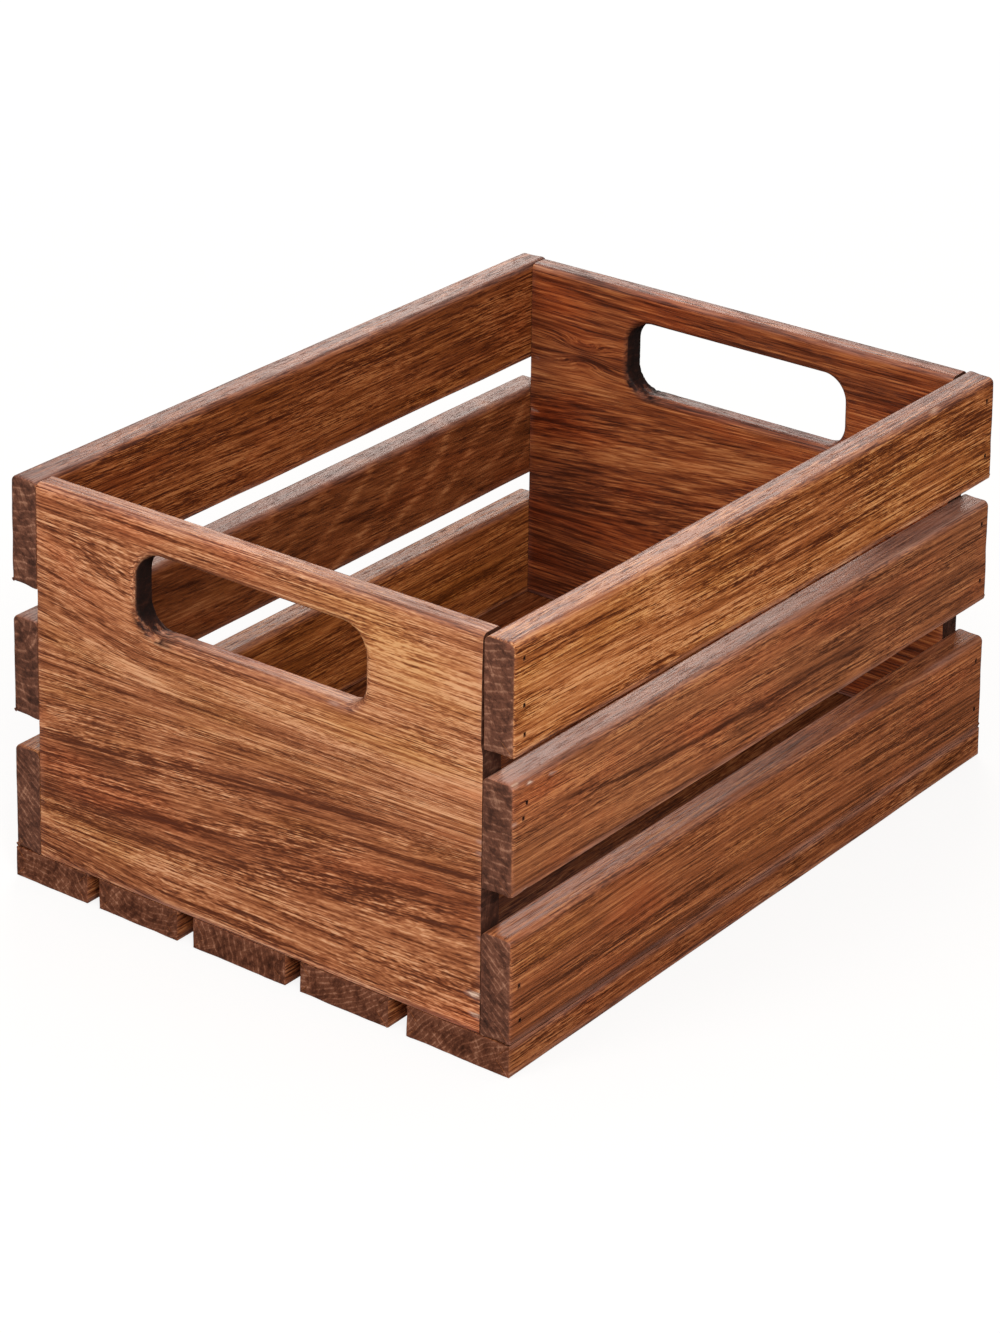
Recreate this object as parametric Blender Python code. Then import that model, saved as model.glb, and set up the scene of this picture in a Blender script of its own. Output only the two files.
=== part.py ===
"""Wooden apple crate: two end panels with hand holes, three side slats a side, five floor slats, brads.

Frame: +Z up, +Y along the crate's length, +X across it. The front is at -Y and the left at -X.
The origin is the middle of the crate's underside.
Units are metres. Every board and every brad is its own closed solid.
"""
import math

import bmesh
import bpy
from mathutils import Matrix, Vector

# ---------------------------------------------------------------- driving dimensions
LENGTH = 0.3050          # outer length, along Y
WIDTH = 0.2260           # outer width over the side slats, along X
HEIGHT = 0.1570          # top of the rim above the ground
SIDE_T = 0.0122          # thickness of a side slat
PANEL_T = 0.0100         # thickness of an end panel
FLOOR_T = 0.0115         # thickness of a floor slat
GAP = 0.0003             # clearance between neighbouring boards

SIDE_ROUND = 0.0024      # round-over on a side slat's upper edges
SIDE_EASE = 0.0008       # eased lower edges of a side slat
PANEL_ROUND = 0.0024     # round-over on an end panel's top edges
FLOOR_ROUND = 0.0008     # eased long edges of a floor slat
ROUND_STEPS = 3          # faces in one round-over
SMOOTH_ANGLE = math.radians(35)   # board edges sharper than this stay sharp

ABOVE_FLOOR = FLOOR_T + GAP            # underside of the panels and the bottom side slats
PANEL_Y = LENGTH / 2 - PANEL_T / 2     # middle of a panel's thickness, out from the centre

SIDES = {"left": -1, "right": 1}       # sign along X
ENDS = {"front": -1, "rear": 1}        # sign along Y

# Side slats: lowest and highest point of each
SIDE_SLATS = {
    ("left", "top"): (0.1162, HEIGHT),
    ("left", "middle"): (0.0652, 0.1030),
    ("left", "bottom"): (ABOVE_FLOOR, 0.0522),
    ("right", "top"): (0.1162, HEIGHT),
    ("right", "middle"): (0.0660, 0.1064),
    ("right", "bottom"): (ABOVE_FLOOR, 0.0500),
}

# Floor slats, numbered from the left: low and high X of each
FLOOR_SLATS = {
    1: (-WIDTH / 2, -0.0780),
    2: (-0.0722, -0.0348),
    3: (-0.0272, 0.0153),
    4: (0.0220, 0.0613),
    5: (0.0693, WIDTH / 2),
}

# Hand hole through each end panel
HOLE_X = {"front": -0.0016, "rear": 0.0002}   # centre, across the panel
HOLE_Z = 0.1290          # centre, above the ground
HOLE_W = 0.1026          # between its ends
HOLE_H = 0.0298          # between its top and bottom
HOLE_R = 0.0100          # corner radius
HOLE_ROUND = 0.0030      # round-over on the hole's edges
HOLE_STEPS = 6           # faces in one corner

CUT_OVERSHOOT = 0.0010   # how far a cutter reaches out past the surface it opens

# Brads: rectangular wire with a small head, sunk under the surface
BRAD_LENGTH = 0.0240
BRAD_SHANK = (0.00100, 0.00125)
BRAD_HEAD = (0.00125, 0.00170)
BRAD_HEAD_T = 0.0006
BRAD_TIP = (0.00030, 0.00040)
BRAD_TIP_L = 0.0015
BRAD_SUNK = 0.0005
BRAD_CLEAR = 0.0003      # room around a brad in its hole

# Brads through the side slats into the panels' end grain:
# distance in from the slat's end, height above the ground
SIDE_BRADS = {
    ("right", "top", "front"): [(0.0052, 0.1504), (0.0056, 0.1336), (0.0060, 0.1230)],
    ("right", "middle", "front"): [(0.0078, 0.0978), (0.0060, 0.0927)],
    ("right", "bottom", "front"): [(0.0050, 0.0320), (0.0057, 0.0190)],
    ("right", "top", "rear"): [(0.0053, 0.1490), (0.0050, 0.1265)],
    ("right", "middle", "rear"): [(0.0052, 0.0985), (0.0048, 0.0750)],
    ("right", "bottom", "rear"): [(0.0051, 0.0415), (0.0049, 0.0210)],
    ("left", "top", "front"): [(0.0050, 0.1485), (0.0054, 0.1270)],
    ("left", "middle", "front"): [(0.0052, 0.0945), (0.0050, 0.0755)],
    ("left", "bottom", "front"): [(0.0053, 0.0440), (0.0050, 0.0300)],
    ("left", "top", "rear"): [(0.0052, 0.1495), (0.0051, 0.1255)],
    ("left", "middle", "rear"): [(0.0050, 0.0950), (0.0053, 0.0760)],
    ("left", "bottom", "rear"): [(0.0051, 0.0430), (0.0052, 0.0315)],
}

# Brads up through each floor slat into the panels' bottom edges: X of each, the same at both ends
FLOOR_BRADS = {
    1: (-0.0945, -0.0835),
    2: (-0.0635, -0.0440),
    3: (-0.0170, 0.0055),
    4: (0.0305, 0.0530),
    5: (0.0745, 0.0840),
}

# Colours, as linear RGB
WOOD = {
    "front_panel": (0.330, 0.135, 0.052),
    "rear_panel": (0.215, 0.078, 0.030),
    "left_slat_top": (0.235, 0.085, 0.033),
    "left_slat_middle": (0.210, 0.080, 0.030),
    "left_slat_bottom": (0.165, 0.055, 0.022),
    "right_slat_top": (0.255, 0.095, 0.036),
    "right_slat_middle": (0.235, 0.085, 0.034),
    "right_slat_bottom": (0.190, 0.068, 0.028),
    "floor_slat_1": (0.180, 0.070, 0.030),
    "floor_slat_2": (0.200, 0.076, 0.032),
    "floor_slat_3": (0.170, 0.064, 0.028),
    "floor_slat_4": (0.190, 0.070, 0.030),
    "floor_slat_5": (0.200, 0.072, 0.030),
}
STEEL = (0.100, 0.085, 0.075)


# ---------------------------------------------------------------- materials
def material(name, color, roughness, metallic):
    mat = bpy.data.materials.new(name)
    mat.use_nodes = True
    shader = mat.node_tree.nodes["Principled BSDF"]
    shader.inputs["Base Color"].default_value = (*color, 1.0)
    shader.inputs["Roughness"].default_value = roughness
    shader.inputs["Metallic"].default_value = metallic
    mat.diffuse_color = (*color, 1.0)
    return mat


def board_wood(board):
    return material(board + "_wood", WOOD[board], roughness=0.45, metallic=0.0)


def brad_steel():
    return material("brad_steel", STEEL, roughness=0.5, metallic=0.8)


# ---------------------------------------------------------------- outlines and solids
def corner_arc(center_x, center_y, radius, start, steps):
    """Points of a quarter circle, anticlockwise from the angle start."""
    angles = [start + math.pi / 2 * i / steps for i in range(steps + 1)]
    return [
        (center_x + radius * math.cos(angle), center_y + radius * math.sin(angle))
        for angle in angles
    ]


def rounded_rect(width, height, radii, steps):
    """Outline centred on 0,0, anticlockwise, with radii for its corners (+ +), (- +), (- -), (+ -)."""
    points = []
    corners = ((1, 1), (-1, 1), (-1, -1), (1, -1))
    for i, ((sign_x, sign_y), radius) in enumerate(zip(corners, radii)):
        if radius <= 0:
            points.append((sign_x * width / 2, sign_y * height / 2))
        else:
            center_x = sign_x * (width / 2 - radius)
            center_y = sign_y * (height / 2 - radius)
            points += corner_arc(center_x, center_y, radius, i * math.pi / 2, steps)
    return points


def rect_ring(size, z):
    x, y = size[0] / 2, size[1] / 2
    return [(x, y, z), (-x, y, z), (-x, -y, z), (x, -y, z)]


def skin(rings):
    """Closed solid through rings of points that have the same count, capped at both ends."""
    solid = bmesh.new()
    loops = [[solid.verts.new(point) for point in ring] for ring in rings]
    count = len(loops[0])
    for near, far in zip(loops, loops[1:]):
        for i in range(count):
            j = (i + 1) % count
            solid.faces.new((near[i], near[j], far[j], far[i]))
    solid.faces.new(list(reversed(loops[0])))
    solid.faces.new(loops[-1])
    bmesh.ops.recalc_face_normals(solid, faces=solid.faces)
    return solid


def to_mesh(name, solid):
    """Turns the bmesh into a mesh and frees it."""
    mesh = bpy.data.meshes.new(name)
    solid.to_mesh(mesh)
    solid.free()
    return mesh


# ---------------------------------------------------------------- objects
def clear_scene():
    for old in list(bpy.data.objects):
        bpy.data.objects.remove(old, do_unlink=True)


def add_object(name, mesh, location, parent):
    obj = bpy.data.objects.new(name, mesh)
    bpy.context.scene.collection.objects.link(obj)
    obj.location = location
    obj.parent = parent
    return obj


def add_board(name, rings, location, parent, cutters):
    mesh = to_mesh(name, skin(rings))
    mesh.shade_smooth()
    mesh.set_sharp_from_angle(angle=SMOOTH_ANGLE)
    mesh.materials.append(board_wood(name))
    board = add_object(name, mesh, location, parent)
    for cutter in cutters:
        cut = board.modifiers.new("cut_" + cutter.name, "BOOLEAN")
        cut.operation = "DIFFERENCE"
        cut.solver = "EXACT"
        cut.object = cutter


def add_cutter(name, solid, location, parent):
    cutter = add_object(name, to_mesh(name, solid), location, parent)
    cutter.hide_render = True
    cutter.display_type = "WIRE"
    return cutter


# ---------------------------------------------------------------- boards
def slat(name, x_span, z_span, upper, lower, parent, brad_holes):
    """A board along the crate's whole length, with radii for its upper and lower long edges."""
    (x0, x1), (z0, z1) = x_span, z_span
    outline = rounded_rect(x1 - x0, z1 - z0, (upper, upper, lower, lower), ROUND_STEPS)
    rings = [[(x, y, z) for x, z in outline] for y in (-LENGTH / 2, LENGTH / 2)]
    location = ((x0 + x1) / 2, 0.0, (z0 + z1) / 2)
    add_board(name, rings, location, parent, [brad_holes])


def side_slat(side, level, parent, brad_holes):
    outer = SIDES[side] * WIDTH / 2
    inner = SIDES[side] * (WIDTH / 2 - SIDE_T)
    slat(
        f"{side}_slat_{level}", sorted((outer, inner)), SIDE_SLATS[side, level],
        SIDE_ROUND, SIDE_EASE, parent, brad_holes,
    )


def floor_slat(number, parent, brad_holes):
    slat(
        f"floor_slat_{number}", FLOOR_SLATS[number], (0.0, FLOOR_T),
        FLOOR_ROUND, FLOOR_ROUND, parent, brad_holes,
    )


def end_panel(end, parent, brad_holes):
    """An upright board between the side slats, its top edges rounded."""
    half = WIDTH / 2 - SIDE_T - GAP
    radii = (PANEL_ROUND, PANEL_ROUND, 0, 0)
    outline = rounded_rect(PANEL_T, HEIGHT - ABOVE_FLOOR, radii, ROUND_STEPS)
    rings = [[(x, y, z) for y, z in outline] for x in (-half, half)]
    location = (0.0, ENDS[end] * PANEL_Y, (HEIGHT + ABOVE_FLOOR) / 2)
    cutters = [hand_hole_cutter(end, parent), brad_holes]
    add_board(end + "_panel", rings, location, parent, cutters)


def hand_hole_cutter(end, parent):
    """The hand hole, with mouths that flare out to make its edges round."""

    def ring(y, grow):
        radii = (HOLE_R + grow,) * 4
        outline = rounded_rect(HOLE_W + 2 * grow, HOLE_H + 2 * grow, radii, HOLE_STEPS)
        return [(x, y, z) for x, z in outline]

    half = PANEL_T / 2
    angles = [math.pi / 2 * i / ROUND_STEPS for i in range(ROUND_STEPS + 1)]
    # One mouth, going outwards: distance from the panel's middle, growth of the outline
    mouth = [
        (half - HOLE_ROUND + HOLE_ROUND * math.sin(angle), HOLE_ROUND * (1 - math.cos(angle)))
        for angle in angles
    ]
    mouth.append((half + CUT_OVERSHOOT, HOLE_ROUND))
    rings = [ring(-y, grow) for y, grow in reversed(mouth)]
    rings += [ring(y, grow) for y, grow in mouth]
    location = (HOLE_X[end], ENDS[end] * PANEL_Y, HOLE_Z)
    return add_cutter(end + "_hand_hole_cutter", skin(rings), location, parent)


# ---------------------------------------------------------------- brads
def brad_mesh():
    """A brad pointing down -Z, with the top of its head at the origin."""
    rings = [
        rect_ring(BRAD_HEAD, 0.0),
        rect_ring(BRAD_HEAD, -BRAD_HEAD_T),
        rect_ring(BRAD_SHANK, -BRAD_HEAD_T),
        rect_ring(BRAD_SHANK, -(BRAD_LENGTH - BRAD_TIP_L)),
        rect_ring(BRAD_TIP, -BRAD_LENGTH),
    ]
    mesh = to_mesh("brad", skin(rings))
    mesh.materials.append(brad_steel())
    return mesh


def brad_hole():
    """The room a brad needs, with clearance all round and open above its head."""
    head = tuple(size + 2 * BRAD_CLEAR for size in BRAD_HEAD)
    shank = tuple(size + 2 * BRAD_CLEAR for size in BRAD_SHANK)
    step = -(BRAD_HEAD_T + BRAD_CLEAR)
    return skin([
        rect_ring(head, BRAD_SUNK + CUT_OVERSHOOT),
        rect_ring(head, step),
        rect_ring(shank, step),
        rect_ring(shank, -(BRAD_LENGTH + BRAD_CLEAR)),
    ])


def turn_to(x, y, z):
    """Rotation that takes a brad's own axes to the given directions."""
    return Matrix((Vector(x), Vector(y), Vector(z))).transposed()


# Turns of a brad, by the way its head faces
FACING = {
    "right": turn_to((0, 1, 0), (0, 0, 1), (1, 0, 0)),
    "left": turn_to((0, -1, 0), (0, 0, 1), (-1, 0, 0)),
    "down": turn_to((0, 1, 0), (1, 0, 0), (0, 0, -1)),
}


def brad_places():
    """Name, position of the head's top, and turn of every brad."""
    places = []
    for (side, level, end), spots in SIDE_BRADS.items():
        x = SIDES[side] * (WIDTH / 2 - BRAD_SUNK)
        for i, (inset, z) in enumerate(spots, start=1):
            spot = Vector((x, ENDS[end] * (LENGTH / 2 - inset), z))
            places.append((f"brad_{side}_{level}_{end}_{i}", spot, FACING[side]))
    for number, brad_xs in FLOOR_BRADS.items():
        for end, sign in ENDS.items():
            for i, x in enumerate(brad_xs, start=1):
                spot = Vector((x, sign * PANEL_Y, BRAD_SUNK))
                places.append((f"brad_floor_{number}_{end}_{i}", spot, FACING["down"]))
    return places


def brad_hole_cutter(places, parent):
    """One hole solid per brad, kept together as a single cutter."""
    whole = bmesh.new()
    for _, spot, turn in places:
        hole = brad_hole()
        placing = Matrix.Translation(spot) @ turn.to_4x4()
        bmesh.ops.transform(hole, matrix=placing, verts=hole.verts)
        hole_mesh = to_mesh("hole", hole)
        whole.from_mesh(hole_mesh)
        bpy.data.meshes.remove(hole_mesh)
    return add_cutter("brad_hole_cutter", whole, (0, 0, 0), parent)


def add_brads(places, parent):
    """All the brads, sharing one mesh."""
    mesh = brad_mesh()
    for name, spot, turn in places:
        brad = add_object(name, mesh, spot, parent)
        brad.rotation_euler = turn.to_euler()


# ---------------------------------------------------------------- assembly
def build():
    clear_scene()
    crate = add_object("crate", None, (0, 0, 0), None)

    places = brad_places()
    brad_holes = brad_hole_cutter(places, crate)
    for end in ENDS:
        end_panel(end, crate, brad_holes)
    for side, level in SIDE_SLATS:
        side_slat(side, level, crate, brad_holes)
    for number in FLOOR_SLATS:
        floor_slat(number, crate, brad_holes)
    add_brads(places, crate)


build()
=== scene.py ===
"""Looks of the wooden apple crate: dense, worn board meshes, procedural oiled hardwood, dark steel brads."""
import math

import bpy
import numpy as np
from mathutils import Matrix, Vector

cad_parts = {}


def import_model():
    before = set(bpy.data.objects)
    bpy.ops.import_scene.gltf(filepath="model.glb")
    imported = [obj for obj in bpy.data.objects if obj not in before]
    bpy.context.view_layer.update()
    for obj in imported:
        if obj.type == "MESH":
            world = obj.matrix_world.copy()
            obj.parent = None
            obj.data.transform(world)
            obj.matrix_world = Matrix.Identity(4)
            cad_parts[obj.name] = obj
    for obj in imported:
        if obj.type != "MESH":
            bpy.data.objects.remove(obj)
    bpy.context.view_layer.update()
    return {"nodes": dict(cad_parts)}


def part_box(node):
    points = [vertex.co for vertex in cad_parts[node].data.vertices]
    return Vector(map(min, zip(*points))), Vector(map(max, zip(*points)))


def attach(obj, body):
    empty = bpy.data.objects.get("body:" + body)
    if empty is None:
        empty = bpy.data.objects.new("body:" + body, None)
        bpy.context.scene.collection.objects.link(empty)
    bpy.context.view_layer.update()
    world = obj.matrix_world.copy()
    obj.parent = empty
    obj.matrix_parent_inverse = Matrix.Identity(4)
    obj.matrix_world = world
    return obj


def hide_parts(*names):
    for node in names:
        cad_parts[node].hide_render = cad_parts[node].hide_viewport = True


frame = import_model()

MM = 0.001


# ------------------------------------------------------------------ noise and small helpers
_TABLE = np.random.RandomState(20261).rand(48, 48, 48) * 2.0 - 1.0


def noise(p, seed=0.0):
    """Smooth value noise between -1 and 1 at the points p (n, 3), one lattice cell per unit."""
    q = np.asarray(p, float) + np.array([11.3, 5.7, 23.1]) * (seed + 1.0)
    i = np.floor(q).astype(int)
    f = q - i
    f = f * f * (3 - 2 * f)
    out = np.zeros(len(q))
    for dx in (0, 1):
        wx = f[:, 0] if dx else 1 - f[:, 0]
        for dy in (0, 1):
            wy = f[:, 1] if dy else 1 - f[:, 1]
            for dz in (0, 1):
                wz = f[:, 2] if dz else 1 - f[:, 2]
                out += wx * wy * wz * _TABLE[(i[:, 0] + dx) % 48, (i[:, 1] + dy) % 48, (i[:, 2] + dz) % 48]
    return out


def noise_at(l, d, t, sl, sd, st, seed=0.0, octaves=1):
    """Noise with cells of sl, sd and st mm."""
    total, amp, norm = 0.0, 1.0, 0.0
    for k in range(octaves):
        s = 2.0 ** k
        total = total + amp * noise(np.stack([l / sl * s, d / sd * s, t / st * s], 1), seed + 3.7 * k)
        norm += amp
        amp *= 0.5
    return total / norm


def step01(a, b, x):
    t = np.clip((x - a) / (b - a), 0, 1)
    return t * t * (3 - 2 * t)


def gauss(x):
    return np.exp(-0.5 * x * x)


def line_at(points, l):
    """Height of a gently curved line through the points [(l, d), ...] at l."""
    p = sorted(points)
    xs = np.array([a for a, _ in p], float)
    ys = np.array([b for _, b in p], float)
    lo, hi = xs[0], xs[-1]
    base = np.interp(l, xs, ys)
    if len(p) < 3:
        return base
    span = max((hi - lo) / (len(p) - 1) * 0.5, 1.0)
    return (np.interp(l - span / 2, xs, ys) + base + np.interp(l + span / 2, xs, ys)) / 3


def streak(l, d, points, width, amount, feather=14.0, seed=0.0):
    """A band along the grain with soft ends, amount at its middle."""
    xs = [a for a, _ in points]
    lo, hi = min(xs), max(xs)
    c = line_at(points, l)
    edge = step01(lo - feather, lo + feather * 0.3, l) * (1 - step01(hi - feather * 0.3, hi + feather, l))
    wob = 0.35 * width * noise_at(l, d * 0, d * 0, 13, 1, 1, seed + 2.0)
    fray = 0.75 + 0.25 * noise_at(l, d, d * 0, 9, 0.8, 1, seed + 5.0)
    return amount * edge * gauss((d - c - wob) / width) * fray


# ------------------------------------------------------------------ board meshes
class Shell:
    """Collects the vertices, faces and face-corner UVs of one board."""

    def __init__(self):
        self.v, self.n = [], 0
        self.quads, self.quad_uv = [], []
        self.polys, self.poly_uv = [], []

    def verts(self, co):
        co = np.asarray(co, float).reshape(-1, 3)
        start = self.n
        self.v.append(co)
        self.n += len(co)
        return start

    def add_quads(self, idx, uv):
        if len(idx):
            self.quads.append(np.asarray(idx, int).reshape(-1, 4))
            self.quad_uv.append(np.asarray(uv, float).reshape(-1, 4, 2))

    def add_poly(self, idx, uv):
        keep_i, keep_uv = [], []
        for a, b in zip(idx, uv):
            if not keep_i or keep_i[-1] != a:
                keep_i.append(a)
                keep_uv.append(b)
        if len(keep_i) > 1 and keep_i[0] == keep_i[-1]:
            keep_i.pop()
            keep_uv.pop()
        if len(keep_i) > 2:
            self.polys.append(keep_i)
            self.poly_uv.append(keep_uv)


def section(ha, hb, radii, step, steps):
    """A board's section, anticlockwise in (a, b): points, outward normals and a tag for each straight run or corner."""
    pts, nrm, tag = [], [], []
    corner = ((1, 1), (-1, 1), (-1, -1), (1, -1))
    for i, (sx, sy) in enumerate(corner):
        r = radii[i]
        cx, cy = sx * (ha - r), sy * (hb - r)
        for k in range(steps + 1):
            ang = i * math.pi / 2 + math.pi / 2 * k / steps
            pts.append((cx + r * math.cos(ang), cy + r * math.sin(ang)))
            nrm.append((math.cos(ang), math.sin(ang)))
            tag.append(-1 - i)
        nx, ny = corner[(i + 1) % 4]
        nr = radii[(i + 1) % 4]
        ang = (i + 1) * math.pi / 2
        p0 = np.array(pts[-1])
        p1 = np.array((nx * (ha - nr) + nr * math.cos(ang), ny * (hb - nr) + nr * math.sin(ang)))
        count = max(1, int(round(np.linalg.norm(p1 - p0) / step)))
        for k in range(1, count):
            q = p0 + (p1 - p0) * k / count
            pts.append(tuple(q))
            nrm.append((math.cos(ang), math.sin(ang)))
            tag.append(i + 1)
    return np.array(pts), np.array(nrm), np.array(tag)


def stations(half, ease, fine, coarse, zone):
    """Places along a board: closer together near its ends."""
    end = half - ease
    near = np.linspace(end - zone, end, int(round(zone / fine)) + 1)
    mid_n = max(1, int(round((2 * (end - zone)) / coarse)))
    mid = np.linspace(-(end - zone), end - zone, mid_n + 1)
    return np.concatenate([-near[::-1], mid[1:-1], near])


EASE_STEPS = 3


GROW = 0.20  # boards touch in reality: each grows by this, and the sanding takes about half of it off again


class Board:
    """A prism with rounded long edges and eased ends, in its own mm frame: a and b across, s along."""

    def __init__(self, ha, hb, half, radii, ease, step, fine, coarse, zone, round_steps=6, crisp_side=0, crisp=0.3):
        ha, hb, half = ha + GROW, hb + GROW, half + GROW
        self.ha, self.hb, self.half, self.ease = ha, hb, half, ease
        self.sh = Shell()
        self.pts, self.nrm, self.tag = section(ha, hb, radii, step, round_steps)
        n = self.ncol = len(self.pts)
        # the ends are eased all round, but less on the side that lies against a panel
        each = np.full(n, float(ease))
        if crisp_side:
            each = crisp + (ease - crisp) * step01(0.12, 0.55, (ha - crisp_side * self.pts[:, 0]) / (2 * ha))
        mids = stations(half, ease, fine, coarse, zone)
        rows = []
        for k in range(EASE_STEPS):
            phi = math.pi / 2 * k / EASE_STEPS
            rows.append((-(half - ease + ease * math.cos(phi)), phi, -1))
        rows += [(s, None, 0) for s in mids]
        for k in reversed(range(EASE_STEPS)):
            phi = math.pi / 2 * k / EASE_STEPS
            rows.append((half - ease + ease * math.cos(phi), phi, 1))
        self.s = np.array([r[0] for r in rows])
        along = np.repeat(self.s[:, None], n, axis=1)
        inset = np.zeros((len(rows), n))
        for k, (_, phi, side) in enumerate(rows):
            if side:
                along[k] = side * (half - each + each * math.cos(phi))
                inset[k] = each * (1 - math.sin(phi))
        ring = self.pts[None] - self.nrm[None] * inset[..., None]
        self.nrow = len(rows)
        grid = np.concatenate([ring, along[..., None]], 2)
        self.sh.verts(grid)
        seg = np.linalg.norm(np.roll(self.pts, -1, 0) - self.pts, axis=1)
        self.arc = np.concatenate([[0], np.cumsum(seg)])
        self.skip = np.zeros((self.nrow - 1, n), bool)
        self.extra = []

    def vid(self, i, j):
        return i * self.ncol + (j % self.ncol)

    # UV plane of the tube: (s, arc)
    def finish_tube(self):
        i, j = np.meshgrid(np.arange(self.nrow - 1), np.arange(self.ncol), indexing="ij")
        keep = ~self.skip
        i, j = i[keep], j[keep]
        idx = np.stack([self.vid(i, j), self.vid(i, j + 1), self.vid(i + 1, j + 1), self.vid(i + 1, j)], 1)
        uv = np.stack(
            [
                np.stack([self.s[i], self.arc[j]], 1),
                np.stack([self.s[i], self.arc[j + 1]], 1),
                np.stack([self.s[i + 1], self.arc[j + 1]], 1),
                np.stack([self.s[i + 1], self.arc[j]], 1),
            ],
            1,
        )
        self.sh.add_quads(idx, uv)

    def finish_caps(self, rings):
        """Both ends, as rings that close on the section's middle line. Their UVs are tagged by s beyond the ends."""
        n = self.ncol
        thin_a = self.ha <= self.hb
        reach = abs(self.hb - self.ha)
        for side, row in ((-1, 0), (1, self.nrow - 1)):
            base = self.sh.v[0][row * n:(row + 1) * n, :2]
            target = base.copy()
            if thin_a:
                target[:, 0] = 0
                target[:, 1] = np.clip(base[:, 1], -reach, reach)
            else:
                target[:, 1] = 0
                target[:, 0] = np.clip(base[:, 0], -reach, reach)
            prev = np.arange(row * n, (row + 1) * n)
            prev_pt = base
            for k in range(1, rings + 1):
                t = k / rings
                pt = base + (target - base) * t
                co = np.concatenate([pt, np.full((n, 1), side * self.half)], 1)
                if k < rings:
                    start = self.sh.verts(co)
                    cur = np.arange(start, start + n)
                else:
                    key = np.round(pt, 5)
                    uniq, inv = np.unique(key, axis=0, return_inverse=True)
                    inv = np.asarray(inv).reshape(-1)
                    start = self.sh.verts(np.concatenate([uniq, np.full((len(uniq), 1), side * self.half)], 1))
                    cur = start + inv
                j = np.arange(n)
                jn = (j + 1) % n
                if side < 0:
                    idx = np.stack([prev[jn], prev[j], cur[j], cur[jn]], 1)
                    pp = np.stack([prev_pt[jn], prev_pt[j], pt[j], pt[jn]], 1)
                else:
                    idx = np.stack([prev[j], prev[jn], cur[jn], cur[j]], 1)
                    pp = np.stack([prev_pt[j], prev_pt[jn], pt[jn], pt[j]], 1)
                uv = pp.copy()
                uv[..., 0] = pp[..., 0] + side * 10000.0
                if k < rings:
                    self.sh.add_quads(idx, uv)
                else:
                    for a, b in zip(idx.tolist(), uv.tolist()):
                        self.sh.add_poly(a, b)
                prev, prev_pt = cur, pt

    def run(self, tag):
        """Columns of the flat run with this tag, in order: 1 is +b, 2 is -a, 3 is -b, 4 is +a."""
        return np.nonzero(self.tag == tag)[0]

    def pocket(self, tag, s0, c0, hs, hc, depth, seed):
        """A brad's sunk hole in the flat run tag, centred on s0 along and c0 across (a or b)."""
        cols = self.run(tag)
        axis = 0 if tag in (1, 3) else 1
        c = self.pts[cols, axis]
        i0 = int(np.searchsorted(self.s, s0 - hs - 0.75) - 1)
        i1 = int(np.searchsorted(self.s, s0 + hs + 0.75))
        inside = np.nonzero((c > c0 - hc - 0.75) & (c < c0 + hc + 0.75))[0]
        k0, k1 = inside[0] - 1, inside[-1] + 1
        j0, j1 = int(cols[k0]), int(cols[k1])
        self.skip[i0:i1, j0:j1] = True
        loop = [(i0, j) for j in range(j0, j1)] + [(i, j1) for i in range(i0, i1)]
        loop += [(i1, j) for j in range(j1, j0, -1)] + [(i, j0) for i in range(i1, i0, -1)]
        ids = np.array([self.vid(i, j) for i, j in loop])
        P = self.sh.v[0][ids]
        normal = np.zeros(3)
        normal[:2] = self.nrm[j0 + 1]
        ps = P[:, 2] - s0
        pc = P[:, axis] - c0
        # where the direction to the window's corner meets a rounded rectangle
        ang = np.arctan2(pc / hc, ps / hs)
        p = 5.0
        rr = (np.abs(np.cos(ang)) ** p + np.abs(np.sin(ang)) ** p) ** (-1 / p)
        rough = 1 + 0.07 * np.sin(3 * ang + seed) + 0.05 * np.sin(7 * ang + 2 * seed)
        qs, qc = hs * rr * rough * np.cos(ang), hc * rr * rough * np.sin(ang)

        def place(f, depth_now):
            out = np.zeros((len(ids), 3))
            out[:, 2] = s0 + f[0]
            out[:, axis] = c0 + f[1]
            other = 1 - axis
            out[:, other] = P[:, other]
            return out - normal * depth_now

        rings = []
        for t in (0.45, 0.85):
            rings.append((place((ps + (qs - ps) * t, pc + (qc - pc) * t), 0.0), None))
        rings.append((place((qs, qc), 0.04), None))
        for k, (g, dep) in enumerate(((0.97, 0.16), (0.95, depth * 0.6), (0.93, depth))):
            rings.append((place((qs * g, qc * g), dep), None))
        rings.append((place((qs * 0.5, qc * 0.5), depth + 0.02), None))
        m = len(ids)
        prev = ids
        prev_uv = np.stack([self.s[[i for i, _ in loop]], self.arc[[j for _, j in loop]]], 1)
        uv_c = np.array([s0, 0.0])
        arc_c = np.interp(c0, *((c, self.arc[cols]) if c[0] < c[-1] else (c[::-1], self.arc[cols][::-1])))
        sign = 1.0 if c[-1] > c[0] else -1.0
        for co, _ in rings:
            start = self.sh.verts(co)
            cur = np.arange(start, start + m)
            cur_uv = np.stack([co[:, 2], arc_c + sign * (co[:, axis] - c0)], 1)
            a = np.arange(m)
            b = (a + 1) % m
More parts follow.
